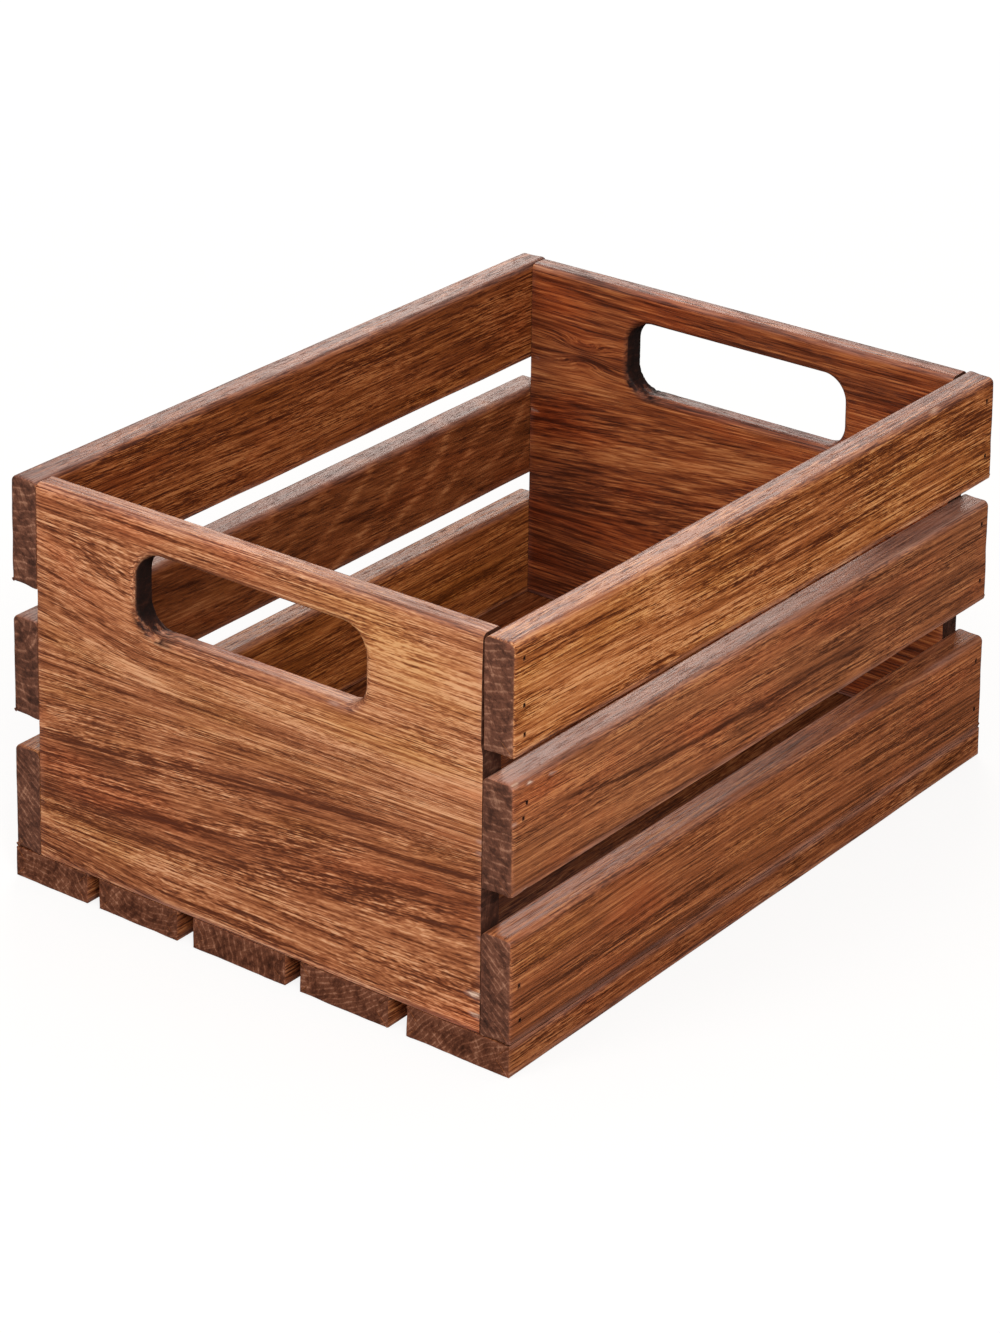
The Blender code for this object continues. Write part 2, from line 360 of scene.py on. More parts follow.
            # the loop runs with j first, against the tube's own winding, so reverse it
            idx = np.stack([prev[a], prev[b], cur[b], cur[a]], 1)
            uv = np.stack([prev_uv[a], prev_uv[b], cur_uv[b], cur_uv[a]], 1)
            self.sh.add_quads(idx, uv)
            prev, prev_uv = cur, cur_uv
        mid = np.zeros(3)
        mid[2] = s0
        mid[axis] = c0
        mid[1 - axis] = P[0, 1 - axis]
        mid = mid - normal * (depth + 0.02)
        start = self.sh.verts(mid)
        for a in range(m):
            b = (a + 1) % m
            self.sh.add_poly([int(prev[a]), int(prev[b]), start], [list(prev_uv[a]), list(prev_uv[b]), [s0, float(arc_c)]])

    def hand_hole(self, sc, bc, w, h, r, rnd, margin, layers, arc_steps, wall_steps):
        """A rounded opening through the two wide faces (runs 2 and 4), with round-overs and a smooth wall."""
        minus, plus = self.run(2), self.run(4)
        bm = self.pts[minus, 1]
        bp = self.pts[plus, 1]
        order = np.argsort(bm)
        minus, bm = minus[order], bm[order]
        order = np.argsort(bp)
        plus, bp = plus[order], bp[order]
        k0 = int(np.searchsorted(bm, bc - h / 2 - margin))
        k1 = int(np.searchsorted(bm, bc + h / 2 + margin))
        k1 = min(k1, len(bm) - 1)
        i0 = int(np.searchsorted(self.s, sc - w / 2 - margin))
        i1 = int(np.searchsorted(self.s, sc + w / 2 + margin))
        for cols in (minus, plus):
            lo, hi = sorted((int(cols[k0]), int(cols[k1])))
            self.skip[i0:i1, lo:hi] = True
        loop = [(i, k0) for i in range(i0, i1)] + [(i1, k) for k in range(k0, k1)]
        loop += [(i, k1) for i in range(i1, i0, -1)] + [(i0, k) for k in range(k1, k0, -1)]
        ii = np.array([a for a, _ in loop])
        kk = np.array([b for _, b in loop])
        S, B = self.s[ii], bm[kk]
        q = np.zeros((len(loop), 2))
        nn = np.zeros((len(loop), 2))
        for x in range(len(loop)):
            u, v = S[x] - sc, B[x] - bc
            iu, iv = w / 2 - r, h / 2 - r
            if abs(u) <= iu and abs(v) > h / 2:
                q[x] = (u, math.copysign(h / 2, v))
                nn[x] = (0, math.copysign(1, v))
            elif abs(v) <= iv:
                q[x] = (math.copysign(w / 2, u), v)
                nn[x] = (math.copysign(1, u), 0)
            else:
                cu, cv = math.copysign(iu, u), math.copysign(iv, v)
                dx, dy = u - cu, v - cv
                ln = math.hypot(dx, dy)
                nn[x] = (dx / ln, dy / ln)
                q[x] = (cu + r * nn[x][0], cv + r * nn[x][1])
        reach = np.linalg.norm(np.stack([S - sc, B - bc], 1) - q, axis=1)
        prof = []  # (e outward of the outline, a from the minus face, uv offset, side)
        for k in range(1, layers):
            f = k / layers
            prof.append((("lerp", f), 0.0, None, 0))
        for k in range(arc_steps + 1):
            phi = math.pi / 2 * k / arc_steps
            prof.append((("abs", rnd * (1 - math.sin(phi))), rnd * (1 - math.cos(phi)), rnd - rnd * phi, 0))
        wall = 2 * self.ha - 2 * rnd
        base = rnd - rnd * math.pi / 2
        for k in range(1, wall_steps):
            z = wall * k / wall_steps
            prof.append((("abs", 0.0), rnd + z, base - min(z, wall - z), 0 if z < wall / 2 - 1e-9 else (2 if abs(z - wall / 2) < 1e-9 else 1)))
        for k in reversed(range(arc_steps + 1)):
            phi = math.pi / 2 * k / arc_steps
            prof.append((("abs", rnd * (1 - math.sin(phi))), 2 * self.ha - rnd * (1 - math.cos(phi)), rnd - rnd * phi, 1))
        for k in reversed(range(1, layers)):
            prof.append((("lerp", k / layers), 2 * self.ha, None, 1))
        arc_minus = dict(zip(minus.tolist(), self.arc[minus].tolist()))

        def uv_at(side, pos2):
            """UV of an in-plane point on the minus (0) or plus (1) face."""
            cols, bb = (minus, bm) if side == 0 else (plus, bp)
            return np.stack([pos2[:, 0], np.interp(pos2[:, 1], bb, self.arc[cols])], 1)

        m = len(loop)
        a = np.arange(m)
        b = (a + 1) % m
        prev = np.array([self.vid(i, int(minus[k])) for i, k in loop])
        prev_uv = {0: uv_at(0, np.stack([S, B], 1))}
        for kind, depth, uvo, side in prof:
            if kind[0] == "lerp":
                e = reach + (rnd - reach) * kind[1]
                euv = e
            else:
                e = np.full(m, kind[1])
                euv = np.full(m, uvo)
            pos = q + nn * e[:, None] + np.array([sc, bc])
            puv = q + nn * euv[:, None] + np.array([sc, bc])
            co = np.stack([np.full(m, -self.ha + depth), pos[:, 1], pos[:, 0]], 1)
            start = self.sh.verts(co)
            cur = np.arange(start, start + m)
            sides = (0, 1) if side == 2 else (side,)
            cur_uv = {sd: uv_at(sd, puv) for sd in sides}
            common = [sd for sd in prev_uv if sd in cur_uv]
            sd = common[0]
            self.sh.add_quads(
                np.stack([prev[a], prev[b], cur[b], cur[a]], 1),
                np.stack([prev_uv[sd][a], prev_uv[sd][b], cur_uv[sd][b], cur_uv[sd][a]], 1),
            )
            prev, prev_uv = cur, cur_uv
        last = np.array([self.vid(i, int(plus[k])) for i, k in loop])
        last_uv = uv_at(1, np.stack([S, B], 1))
        self.sh.add_quads(
            np.stack([prev[a], prev[b], last[b], last[a]], 1),
            np.stack([prev_uv[1][a], prev_uv[1][b], last_uv[b], last_uv[a]], 1),
        )

    def mesh(self, name, to_world, v_weight=None):
        """The finished mesh. to_world maps (a, b, s) in mm to metres in the crate's frame."""
        sh = self.sh
        co = np.concatenate(sh.v)
        faces = np.concatenate(sh.quads)
        fuv = np.concatenate(sh.quad_uv)
        polys, puv = sh.polys, sh.poly_uv
        used = np.unique(np.concatenate([faces.ravel(), np.array([x for p in polys for x in p], int)]))
        remap = np.full(len(co), -1)
        remap[used] = np.arange(len(used))
        co = co[used]
        faces = remap[faces]
        polys = [[int(remap[x]) for x in p] for p in polys]
        world = to_world(co)
        # signed volume tells which way the faces point
        tri = world[faces]
        vol = np.einsum("ij,ij->i", tri[:, 0], np.cross(tri[:, 1], tri[:, 2])).sum()
        vol += np.einsum("ij,ij->i", tri[:, 0], np.cross(tri[:, 2], tri[:, 3])).sum()
        if vol < 0:
            faces = faces[:, ::-1]
            fuv = fuv[:, ::-1]
            polys = [p[::-1] for p in polys]
            puv = [u[::-1] for u in puv]
        me = bpy.data.meshes.new(name)
        me.from_pydata(world.tolist(), [], faces.tolist() + polys)
        uv = np.concatenate([fuv.reshape(-1, 2), np.array([x for u in puv for x in u], float).reshape(-1, 2)])
        out = np.zeros_like(uv)
        cap = np.abs(uv[:, 0]) > 5000
        total = self.arc[-1]
        va = uv[:, 1]
        if v_weight is not None:
            va = np.interp(va, v_weight[0], v_weight[1])
        else:
            va = va / total
        out[~cap, 0] = 0.008 + 0.902 * (uv[~cap, 0] + self.half) / (2 * self.half)
        out[~cap, 1] = 0.008 + 0.984 * va[~cap]
        top = uv[:, 0] > 5000
        for mask, off, sgn in ((cap & ~top, 0.0, 10000.0), (cap & top, 0.5, -10000.0)):
            x = uv[mask, 0] + sgn
            y = uv[mask, 1]
            if self.hb >= self.ha:
                out[mask, 0] = 0.920 + 0.072 * (x + self.ha) / (2 * self.ha)
                out[mask, 1] = 0.008 + off + 0.484 * (y + self.hb) / (2 * self.hb)
            else:
                out[mask, 0] = 0.920 + 0.072 * (y + self.hb) / (2 * self.hb)
                out[mask, 1] = 0.008 + off + 0.484 * (x + self.ha) / (2 * self.ha)
        layer = me.uv_layers.new(name="OFBake")
        layer.data.foreach_set("uv", out.astype(np.float32).ravel())
        me.update()
        return me


def gap_at_top_right(co, lo, hi):
    """The front panel is a little narrow beside the top right slat, so a dark line shows there."""
    x = co[:, 0] * 1000
    z = co[:, 2] * 1000
    amount = 0.75 * step01(hi[0] - 16, hi[0], x) * step01(113.0, 118.0, z) * (1 - 0.45 * step01(140, 157, z))
    co[:, 0] -= amount * MM


def put_vector(me, name, x, y, z):
    attr = me.attributes.new(name, "FLOAT_VECTOR", "POINT")
    attr.data.foreach_set("vector", np.stack([x, y, z], 1).astype(np.float32).ravel())


def coords(me):
    co = np.zeros(len(me.vertices) * 3, np.float32)
    me.vertices.foreach_get("co", co)
    nr = np.zeros(len(me.vertices) * 3, np.float32)
    me.vertex_normals.foreach_get("vector", nr)
    return co.reshape(-1, 3).astype(float), nr.reshape(-1, 3).astype(float)


# ------------------------------------------------------------------ the wood material
def srgb(r, g, b):
    def lin(c):
        c = c / 255.0
        return c / 12.92 if c <= 0.04045 else ((c + 0.055) / 1.055) ** 2.4
    return (lin(r), lin(g), lin(b), 1.0)


class Nodes:
    def __init__(self, tree):
        self.t = tree
        self.x = 0

    def new(self, kind, **values):
        n = self.t.nodes.new(kind)
        n.location = (self.x, 0)
        self.x += 40
        for k, v in values.items():
            setattr(n, k, v)
        return n

    def link(self, a, b):
        self.t.links.new(a, b)

    def feed(self, socket, value):
        if isinstance(value, bpy.types.NodeSocket):
            self.link(value, socket)
        else:
            socket.default_value = value

    def math(self, op, a, b=0.0, c=0.0, clamp=False):
        n = self.new("ShaderNodeMath", operation=op, use_clamp=clamp)
        self.feed(n.inputs[0], a)
        self.feed(n.inputs[1], b)
        if op in ("MULTIPLY_ADD", "SMOOTH_MIN", "SMOOTH_MAX"):
            self.feed(n.inputs[2], c)
        return n.outputs[0]

    def vmath(self, op, a, b):
        n = self.new("ShaderNodeVectorMath", operation=op)
        self.feed(n.inputs[0], a)
        self.feed(n.inputs[1], b)
        return n.outputs[0]

    def noise(self, vec, detail=2.0, rough=0.5, scale=1.0, distortion=0.0):
        n = self.new("ShaderNodeTexNoise", noise_dimensions="3D")
        self.feed(n.inputs["Vector"], vec)
        n.inputs["Scale"].default_value = scale
        n.inputs["Detail"].default_value = detail
        n.inputs["Roughness"].default_value = rough
        n.inputs["Distortion"].default_value = distortion
        return n.outputs["Fac"]

    def remap(self, v, a, b, c, d, smooth=True):
        n = self.new("ShaderNodeMapRange")
        n.interpolation_type = "SMOOTHSTEP" if smooth else "LINEAR"
        n.clamp = True
        self.feed(n.inputs["Value"], v)
        for name, val in (("From Min", a), ("From Max", b), ("To Min", c), ("To Max", d)):
            n.inputs[name].default_value = val
        return n.outputs["Result"]

    def ramp(self, v, stops):
        n = self.new("ShaderNodeValToRGB")
        self.feed(n.inputs["Fac"], v)
        e = n.color_ramp.elements
        while len(e) < len(stops):
            e.new(0.5)
        for el, (pos, col) in zip(e, stops):
            el.position = pos
            el.color = col
        return n.outputs["Color"]

    def mix(self, fac, a, b, blend="MIX"):
        n = self.new("ShaderNodeMix", data_type="RGBA", blend_type=blend)
        n.clamp_factor = True
        self.feed(n.inputs["Factor"], fac)
        self.feed(n.inputs[6], a)
        self.feed(n.inputs[7], b)
        return n.outputs[2]


def wood_material(name, palette, seed, contrast=1.0, streak_mix=1.0, gloss=0.0, pore=1.0, ring_mm=2.4, run=1.0, grit_amt=1.0, spec=0.34, calm=(0.38, 1.72)):
    """Oiled, open-pored hardwood. palette: five colours from the darkest pore line to the palest fibre.

    Attributes on the mesh: wv = along, across and depth in mm, following the fibres;
    wa = ring distance in mm, tone, red; wb = wear with painted sheen, soil with painted shade, end grain."""
    mat = bpy.data.materials.new(name)
    mat.use_nodes = True
    nt = mat.node_tree
    nt.nodes.clear()
    N = Nodes(nt)
    out = N.new("ShaderNodeOutputMaterial")
    bsdf = N.new("ShaderNodeBsdfPrincipled")
    N.link(bsdf.outputs["BSDF"], out.inputs["Surface"])

    wv = N.new("ShaderNodeAttribute", attribute_name="wv").outputs["Vector"]
    wa = N.new("ShaderNodeAttribute", attribute_name="wa").outputs["Vector"]
    wb = N.new("ShaderNodeAttribute", attribute_name="wb").outputs["Vector"]
    sa = N.new("ShaderNodeSeparateXYZ")
    N.link(wa, sa.inputs[0])
    rho, tone, red = sa.outputs
    sb = N.new("ShaderNodeSeparateXYZ")
    N.link(wb, sb.inputs[0])
    wear_and_sheen, soil_and_shade, endg = sb.outputs
    wv = N.vmath("ADD", wv, (seed * 37.7, seed * 11.3, seed * 5.9))

    def scaled(l, r):
        return N.vmath("MULTIPLY", wv, (1 / l, 1 / r, 1 / r))

    # bands, streaks and fibres, all drawn out along the grain
    broad = N.noise(scaled(150, 7.5), 2.0, 0.5)
    coarse = N.noise(scaled(100 * run, 1.9), 2.0, 0.6)
    mid = N.noise(scaled(48 * run, 0.85), 2.0, 0.6)
    fine = N.noise(scaled(22 * run, 0.42), 2.0, 0.6)
    grit = N.noise(N.vmath("ADD", scaled(3.4, 0.34), (5.3, 1.7, 8.9)), 1.0, 0.6)
    dash = N.noise(scaled(11 * run, 0.36), 1.0, 0.5)
    dash2 = N.noise(N.vmath("ADD", scaled(20 * run, 0.62), (3.1, 7.7, 1.9)), 1.0, 0.5)
    patch = N.noise(scaled(40, 14), 1.0, 0.5)

    # growth rings: a dark porous line where each ring starts, fading to denser, paler wood
    wob = N.math("MULTIPLY_ADD", broad, 1.6, N.math("MULTIPLY", coarse, 0.7))
    turn = N.math("FRACT", N.math("DIVIDE", N.math("ADD", rho, wob), ring_mm))
    ring_dark = N.math("MULTIPLY", N.remap(turn, 0.0, 0.10, 0.0, 1.0), N.remap(turn, 0.10, 0.62, 1.0, 0.0))

    v = N.math("MULTIPLY_ADD", N.math("SUBTRACT", broad, 0.5), 0.50 * contrast, 0.5)
    v = N.math("MULTIPLY_ADD", N.math("SUBTRACT", coarse, 0.5), 0.85 * contrast * streak_mix, v)
    v = N.math("MULTIPLY_ADD", N.math("SUBTRACT", mid, 0.5), 1.45 * contrast * streak_mix, v)
    # some zones are calm and some busy
    busy = N.remap(N.noise(N.vmath("ADD", scaled(46, 7.0), (2.2, 6.1, 3.3)), 1.0, 0.5), 0.34, 0.66, calm[0], calm[1])
    detail = N.math("MULTIPLY_ADD", N.math("SUBTRACT", fine, 0.5), 1.62 * contrast * streak_mix * (0.35 + 0.65 * grit_amt), N.math("MULTIPLY", N.math("SUBTRACT", grit, 0.5), 0.95 * contrast * grit_amt))
    v = N.math("MULTIPLY_ADD", detail, busy, v)
    v = N.math("MULTIPLY_ADD", N.math("SUBTRACT", patch, 0.5), 0.22 * contrast, v)
    v = N.math("MULTIPLY_ADD", tone, 0.32, v)
    v = N.math("MULTIPLY_ADD", ring_dark, -0.10 * contrast, v)

    # open pores: short dark dashes, thicker where a ring starts
    pore_lim = N.math("MULTIPLY_ADD", ring_dark, 0.05, -0.015)
    thr = N.math("ADD", dash, pore_lim)
    pores = N.remap(thr, 0.60, 0.70, 0.0, 1.0)
    pores2 = N.remap(N.math("ADD", dash2, pore_lim), 0.645, 0.72, 0.0, 1.0)
    pores = N.math("MAXIMUM", pores, N.math("MULTIPLY", pores2, 0.8))
    v = N.math("MULTIPLY_ADD", pores, -0.21 * pore, v)
    # pale flecks
    flecks = N.remap(N.noise(N.vmath("ADD", scaled(11, 0.42), (9.4, 2.2, 5.5)), 1.0, 0.5), 0.655, 0.74, 0.0, 1.0)
    v = N.math("MULTIPLY_ADD", flecks, 0.22, v)

    face = N.ramp(v, [(0.08, palette[0]), (0.30, palette[1]), (0.50, palette[2]), (0.70, palette[3]), (0.92, palette[4])])

    # redder and yellower zones
    hue = N.math("ADD", N.math("MULTIPLY", N.math("SUBTRACT", patch, 0.5), 1.2), red)
    warm = N.mix(N.remap(hue, 0.0, 0.8, 0.0, 0.75), face, N.mix(1.0, face, srgb(255, 205, 176), "MULTIPLY"))
    warm = N.mix(N.remap(hue, -0.7, 0.0, 0.6, 0.0), warm, N.mix(1.0, warm, srgb(250, 252, 205), "MULTIPLY"))

    # end grain: dark and mottled, with thin pale ring lines, rays across them, and pores
    wr = N.new("ShaderNodeAttribute", attribute_name="wr").outputs["Vector"]
    end_mott = N.noise(N.vmath("MULTIPLY", wv, (0.05, 0.42, 0.42)), 2.0, 0.6)
    end_wob = N.noise(N.vmath("MULTIPLY", wv, (0.02, 0.14, 0.14)), 2.0, 0.5)
    end_turn = N.math("FRACT", N.math("DIVIDE", N.math("MULTIPLY_ADD", end_wob, 3.2, rho), ring_mm * 0.95))
    end_line = N.math("MULTIPLY", N.remap(end_turn, 0.0, 0.16, 0.0, 1.0), N.remap(end_turn, 0.16, 0.46, 1.0, 0.0))
    ray = N.math("ABSOLUTE", N.math("SUBTRACT", N.noise(N.vmath("MULTIPLY", wr, (0.42, 0.025, 1.0)), 1.0, 0.5), 0.5))
    ray = N.math("MULTIPLY", N.remap(ray, 0.0, 0.035, 1.0, 0.0), N.remap(end_wob, 0.40, 0.60, 0.0, 1.0))
    end_dots = N.noise(N.vmath("MULTIPLY", wv, (0.1, 2.4, 2.4)), 2.0, 0.6)
    e = N.math("MULTIPLY_ADD", N.math("SUBTRACT", end_dots, 0.5), 0.42, 0.40)
    e = N.math("MULTIPLY_ADD", N.math("SUBTRACT", end_mott, 0.5), 0.75, e)
    e = N.math("MULTIPLY_ADD", N.math("MULTIPLY", end_line, N.remap(end_mott, 0.34, 0.56, 0.2, 1.0)), 0.20, e)
    e = N.math("MULTIPLY_ADD", N.math("SUBTRACT", end_wob, 0.5), 0.60, e)
    e = N.math("MULTIPLY_ADD", ray, 0.13, e)
    e = N.math("MULTIPLY_ADD", tone, 0.18, e)
    end_col = N.ramp(e, [(0.08, srgb(52, 27, 18)), (0.34, srgb(94, 54, 38)), (0.55, srgb(126, 77, 56)), (0.85, srgb(182, 130, 102))])
    end_col = N.mix(N.remap(wear_and_sheen, 0.05, 0.5, 0.0, 0.55), end_col, srgb(142, 78, 50))

    col = N.mix(endg, warm, end_col)
    # rubbed edges are paler and greyer, and the top faces get a painted sheen, pale and grey-pink, from the same mix;
    # chips show raw wood
    rub_and_sheen = N.math("MULTIPLY", wear_and_sheen, N.remap(N.math("MULTIPLY_ADD", fine, 0.6, N.math("MULTIPLY", mid, 0.4)), 0.34, 0.62, 0.30, 1.10))
    col = N.mix(N.math("MULTIPLY", N.math("MULTIPLY", rub_and_sheen, 0.74, clamp=True), N.math("SUBTRACT", 1.0, N.math("MULTIPLY", endg, 0.8))), col, N.mix(0.58, col, srgb(194, 157, 147)))
    col = N.mix(N.math("MULTIPLY", N.remap(wear_and_sheen, 0.95, 1.7, 0.0, 0.55), N.remap(fine, 0.3, 0.6, 0.45, 1.0)), col, srgb(206, 158, 124))
    col = N.mix(N.math("MULTIPLY", N.remap(wear_and_sheen, 1.3, 2.2, 0.0, 0.95), N.remap(N.math("ADD", fine, N.math("MULTIPLY", grit, 0.5)), 0.70, 0.82, 0.0, 1.0)), col, srgb(236, 204, 182))
    # dirt and burn, with painted shade in corners, recesses, the gaps between boards and on the crate's floor
    col = N.mix(N.math("MULTIPLY", soil_and_shade, 0.92, clamp=True), col, N.mix(0.55, N.mix(1.0, col, srgb(116, 84, 66), "MULTIPLY"), srgb(22, 12, 8)))
    N.link(col, bsdf.inputs["Base Color"])

    r = N.math("MULTIPLY_ADD", N.math("SUBTRACT", mid, 0.5), 0.30, 0.43 - gloss)
    r = N.math("MULTIPLY_ADD", pores, 0.20, r)
    r = N.math("MULTIPLY_ADD", endg, 0.16, r)
    r = N.math("MULTIPLY_ADD", soil_and_shade, 0.2, r)
    N.link(N.math("ADD", r, 0.0, clamp=True), bsdf.inputs["Roughness"])
    bsdf.inputs["IOR"].default_value = 1.47
    bsdf.inputs["Specular IOR Level"].default_value = spec

    # relief of fibres and pores
    h = N.math("MULTIPLY_ADD", fine, 0.5, N.math("MULTIPLY", mid, 0.7))
    h = N.math("MULTIPLY_ADD", pores, -0.75, h)
    h = N.math("MULTIPLY_ADD", N.math("MULTIPLY", end_dots, endg), 0.8, h)
    bump = N.new("ShaderNodeBump")
    bump.inputs["Strength"].default_value = 0.55
    bump.inputs["Distance"].default_value = 0.00016
    N.link(h, bump.inputs["Height"])
    N.link(bump.outputs["Normal"], bsdf.inputs["Normal"])
    return mat


# ------------------------------------------------------------------ what each board looks like
# Bands run along the grain: points are (mm along, mm across from the top or left edge), then half width and strength.
# Negative strength is dark, positive is pale.
BANDS = {
    "front_panel": [
        ([(0, 96.5), (40, 93), (83, 87.5), (140, 82), (175, 80.5)], 0.75, -1.25),
        ([(0, 97), (40, 93), (83, 88), (140, 83)], 3.4, -0.42),
        ([(0, 116.5), (22, 117), (45, 113), (78, 109.5)], 3.0, -0.95),
        ([(0, 124), (30, 124.4), (60, 122), (90, 119)], 0.8, -0.85),
        ([(50, 112), (90, 109.5), (127, 106.5), (160, 103), (200, 99)], 0.9, -0.8),
        ([(90, 110), (127, 107), (160, 104), (200, 100)], 3.2, -0.35),
        ([(88, 75), (105, 72.5), (117, 68), (142, 66.5)], 0.8, -0.85),
        ([(110, 78.5), (132, 76), (142, 72), (160, 67)], 1.1, -0.75),
        ([(124, 94.5), (158, 91.5), (200, 89)], 1.1, -1.15),
        ([(0, 83), (33, 80), (50, 76)], 1.0, -0.6),
        ([(28, 70.5), (55, 66.5), (85, 64)], 0.9, -0.7),
        ([(0, 64.2), (60, 63.6), (130, 63.2), (200, 62.6)], 0.45, -0.55),
        ([(0, 135), (25, 139), (50, 144)], 1.4, -0.7),
        ([(0, 140), (20, 144)], 1.5, -0.6),
        ([(0, 11), (60, 11.6), (200, 12)], 0.5, -0.5),
        ([(0, 105), (60, 101), (140, 95)], 1.8, -0.35),
        ([(60, 120), (120, 116), (200, 111)], 1.6, -0.35),
        ([(60, 98), (110, 96), (150, 98)], 1.2, 0.5),
        ([(30, 104), (60, 102), (95, 100)], 1.0, 0.45),
        ([(100, 49), (150, 54), (200, 56)], 6.0, 0.62),
        ([(26, 50), (45, 57.5), (66, 62)], 1.6, 0.95),
        ([(0, 50), (30, 56), (60, 61)], 3.0, 0.35),
        ([(0, 127.6), (40, 128.8), (75, 130.5), (112, 134)], 2.0, 1.05),
        ([(138, 119.5), (170, 117.8), (200, 116.5)], 2.3, 0.7),
        ([(155, 20), (200, 18)], 8.0, 0.42),
        ([(152, 38), (200, 35)], 6.0, 0.35),
        ([(0, 20), (30, 27), (48, 36)], 1.6, 0.5),
        ([(0, 30), (20, 36), (44, 46)], 1.2, -0.55),
        ([(0, 42), (25, 48), (50, 56)], 1.0, -0.5),
        ([(90, 71), (160, 70), (200, 68)], 1.4, 0.4),
    ],
    "rear_panel": [
        ([(0, 80), (40, 74), (70, 69.5), (112, 63)], 3.2, 0.85),
        ([(28, 47), (48, 50)], 2.6, 0.7),
        ([(0, 67), (50, 64), (75, 65.5), (100, 61)], 0.9, -0.9),
        ([(22, 36), (50, 33.5)], 1.0, -0.8),
        ([(30, 57), (70, 55), (110, 52)], 2.2, -0.45),
        ([(60, 55), (100, 58)], 1.4, 0.6),
        ([(0, 100), (50, 98), (90, 94)], 3.5, -0.4),
        ([(10, 112), (60, 112), (90, 110)], 1.8, 0.35),
        ([(0, 24), (45, 22), (80, 12), (200, 10)], 1.2, -0.4),
        ([(10, 16), (45, 17)], 2.4, 0.4),
        ([(155, 20), (200, 19)], 1.2, -0.5),
        ([(155, 30), (200, 31)], 1.8, 0.35),
    ],
    "right_slat_top": [
        ([(140, 23.5), (170, 24.6), (200, 26.2), (235, 25.4)], 0.55, -1.3),
        ([(58, 24.2), (100, 23.6), (150, 23)], 0.4, -0.8),
        ([(198, 14.5), (243, 12)], 1.2, -0.55),
        ([(95, 5), (210, 4)], 1.6, -0.5),
        ([(14, 25), (52, 27), (92, 26)], 6.0, 0.55),
        ([(232, 18.4), (258, 16.8)], 0.9, 1.2),
        ([(165, 31), (240, 33)], 0.8, 0.7),
        ([(150, 38), (300, 38)], 0.9, -0.45),
        ([(215, 27), (290, 28.5)], 1.6, 0.45),
        ([(0, 6), (60, 5)], 2.2, -0.25),
    ],
    "right_slat_middle": [
        ([(36, 16), (70, 22), (100, 24.6), (160, 26), (215, 27.5)], 0.7, -1.25),
        ([(36, 17), (100, 25), (215, 28)], 2.4, -0.3),
        ([(200, 29), (305, 33)], 1.9, -0.5),
        ([(0, 38), (200, 39)], 1.1, -0.6),
        ([(55, 3), (118, 2.6)], 0.7, 1.0),
        ([(8, 12), (60, 14)], 3.6, 0.4),
        ([(0, 30), (60, 32), (100, 33)], 1.6, 0.35),
        ([(190, 10), (250, 13)], 2.0, -0.4),
        ([(120, 8), (180, 9)], 2.6, 0.3),
    ],
    "right_slat_bottom": [
        ([(0, 24), (60, 26), (125, 27.5)], 1.0, -0.8),
        ([(0, 31), (60, 33), (130, 34.5)], 1.2, -0.75),
        ([(0, 36), (85, 37.2)], 0.8, -0.8),
        ([(0, 28), (60, 29.6), (120, 31)], 1.0, 0.5),
        ([(55, 12), (130, 14)], 2.8, 0.45),
        ([(230, 20), (300, 24)], 4.0, -0.35),
        ([(140, 22), (230, 24)], 1.2, 0.4),
    ],
    "left_slat_top": [
        ([(60, 12), (140, 13), (230, 11)], 1.4, -0.55),
        ([(70, 26), (150, 27), (200, 26)], 2.2, 0.6),
        ([(160, 18), (240, 20)], 2.0, 0.7),
        ([(40, 34), (160, 36), (290, 34)], 1.0, -0.6),
        ([(220, 29), (285, 31)], 1.6, 0.5),
    ],
    "left_slat_middle": [
        ([(50, 22), (100, 24)], 3.0, 0.45),
        ([(40, 8), (120, 7)], 1.6, -0.5),
    ],
    "left_slat_bottom": [
        ([(60, 8), (160, 9), (285, 7)], 1.0, 0.45),
        ([(90, 20), (200, 22), (290, 21)], 1.2, -0.5),
        ([(60, 30), (180, 32)], 1.8, 0.35),
    ],
}


def warp_front(l, d, t):
    """Fibres of the front panel: swirl down beside the hand hole, climb to the right across the middle."""
    w1 = step01(8, 26, d) * (1 - step01(50, 70, d))
    s1 = 7.5 * step01(-12, 62, l)
    w2 = step01(58, 86, d) * (1 - step01(96, 137, d))
    w3 = step01(128, 145, d)
    return d - w1 * s1 + w2 * 0.088 * l - w3 * 0.10 * np.minimum(l, 60) + 0.25 * t


def warp_rear(l, d, t):
    w2 = step01(36, 56, d) * (1 - step01(92, 112, d))
    knot = gauss((l - 27) / 7.0) * gauss((d - 33) / 4.5)
    return d + w2 * 0.11 * l + 6.0 * knot * np.sign(d - 33 + 1e-6) * np.minimum(np.abs(d - 33) / 4.0, 1.0) + 0.25 * t


def warp_slat(slope, bow, seed):
    def f(l, d, t):
        return d - slope * l - bow * gauss((l - 150) / 75.0) + 0.9 * noise_at(l, d, t, 70, 22, 22, seed) + 0.3 * t
    return f


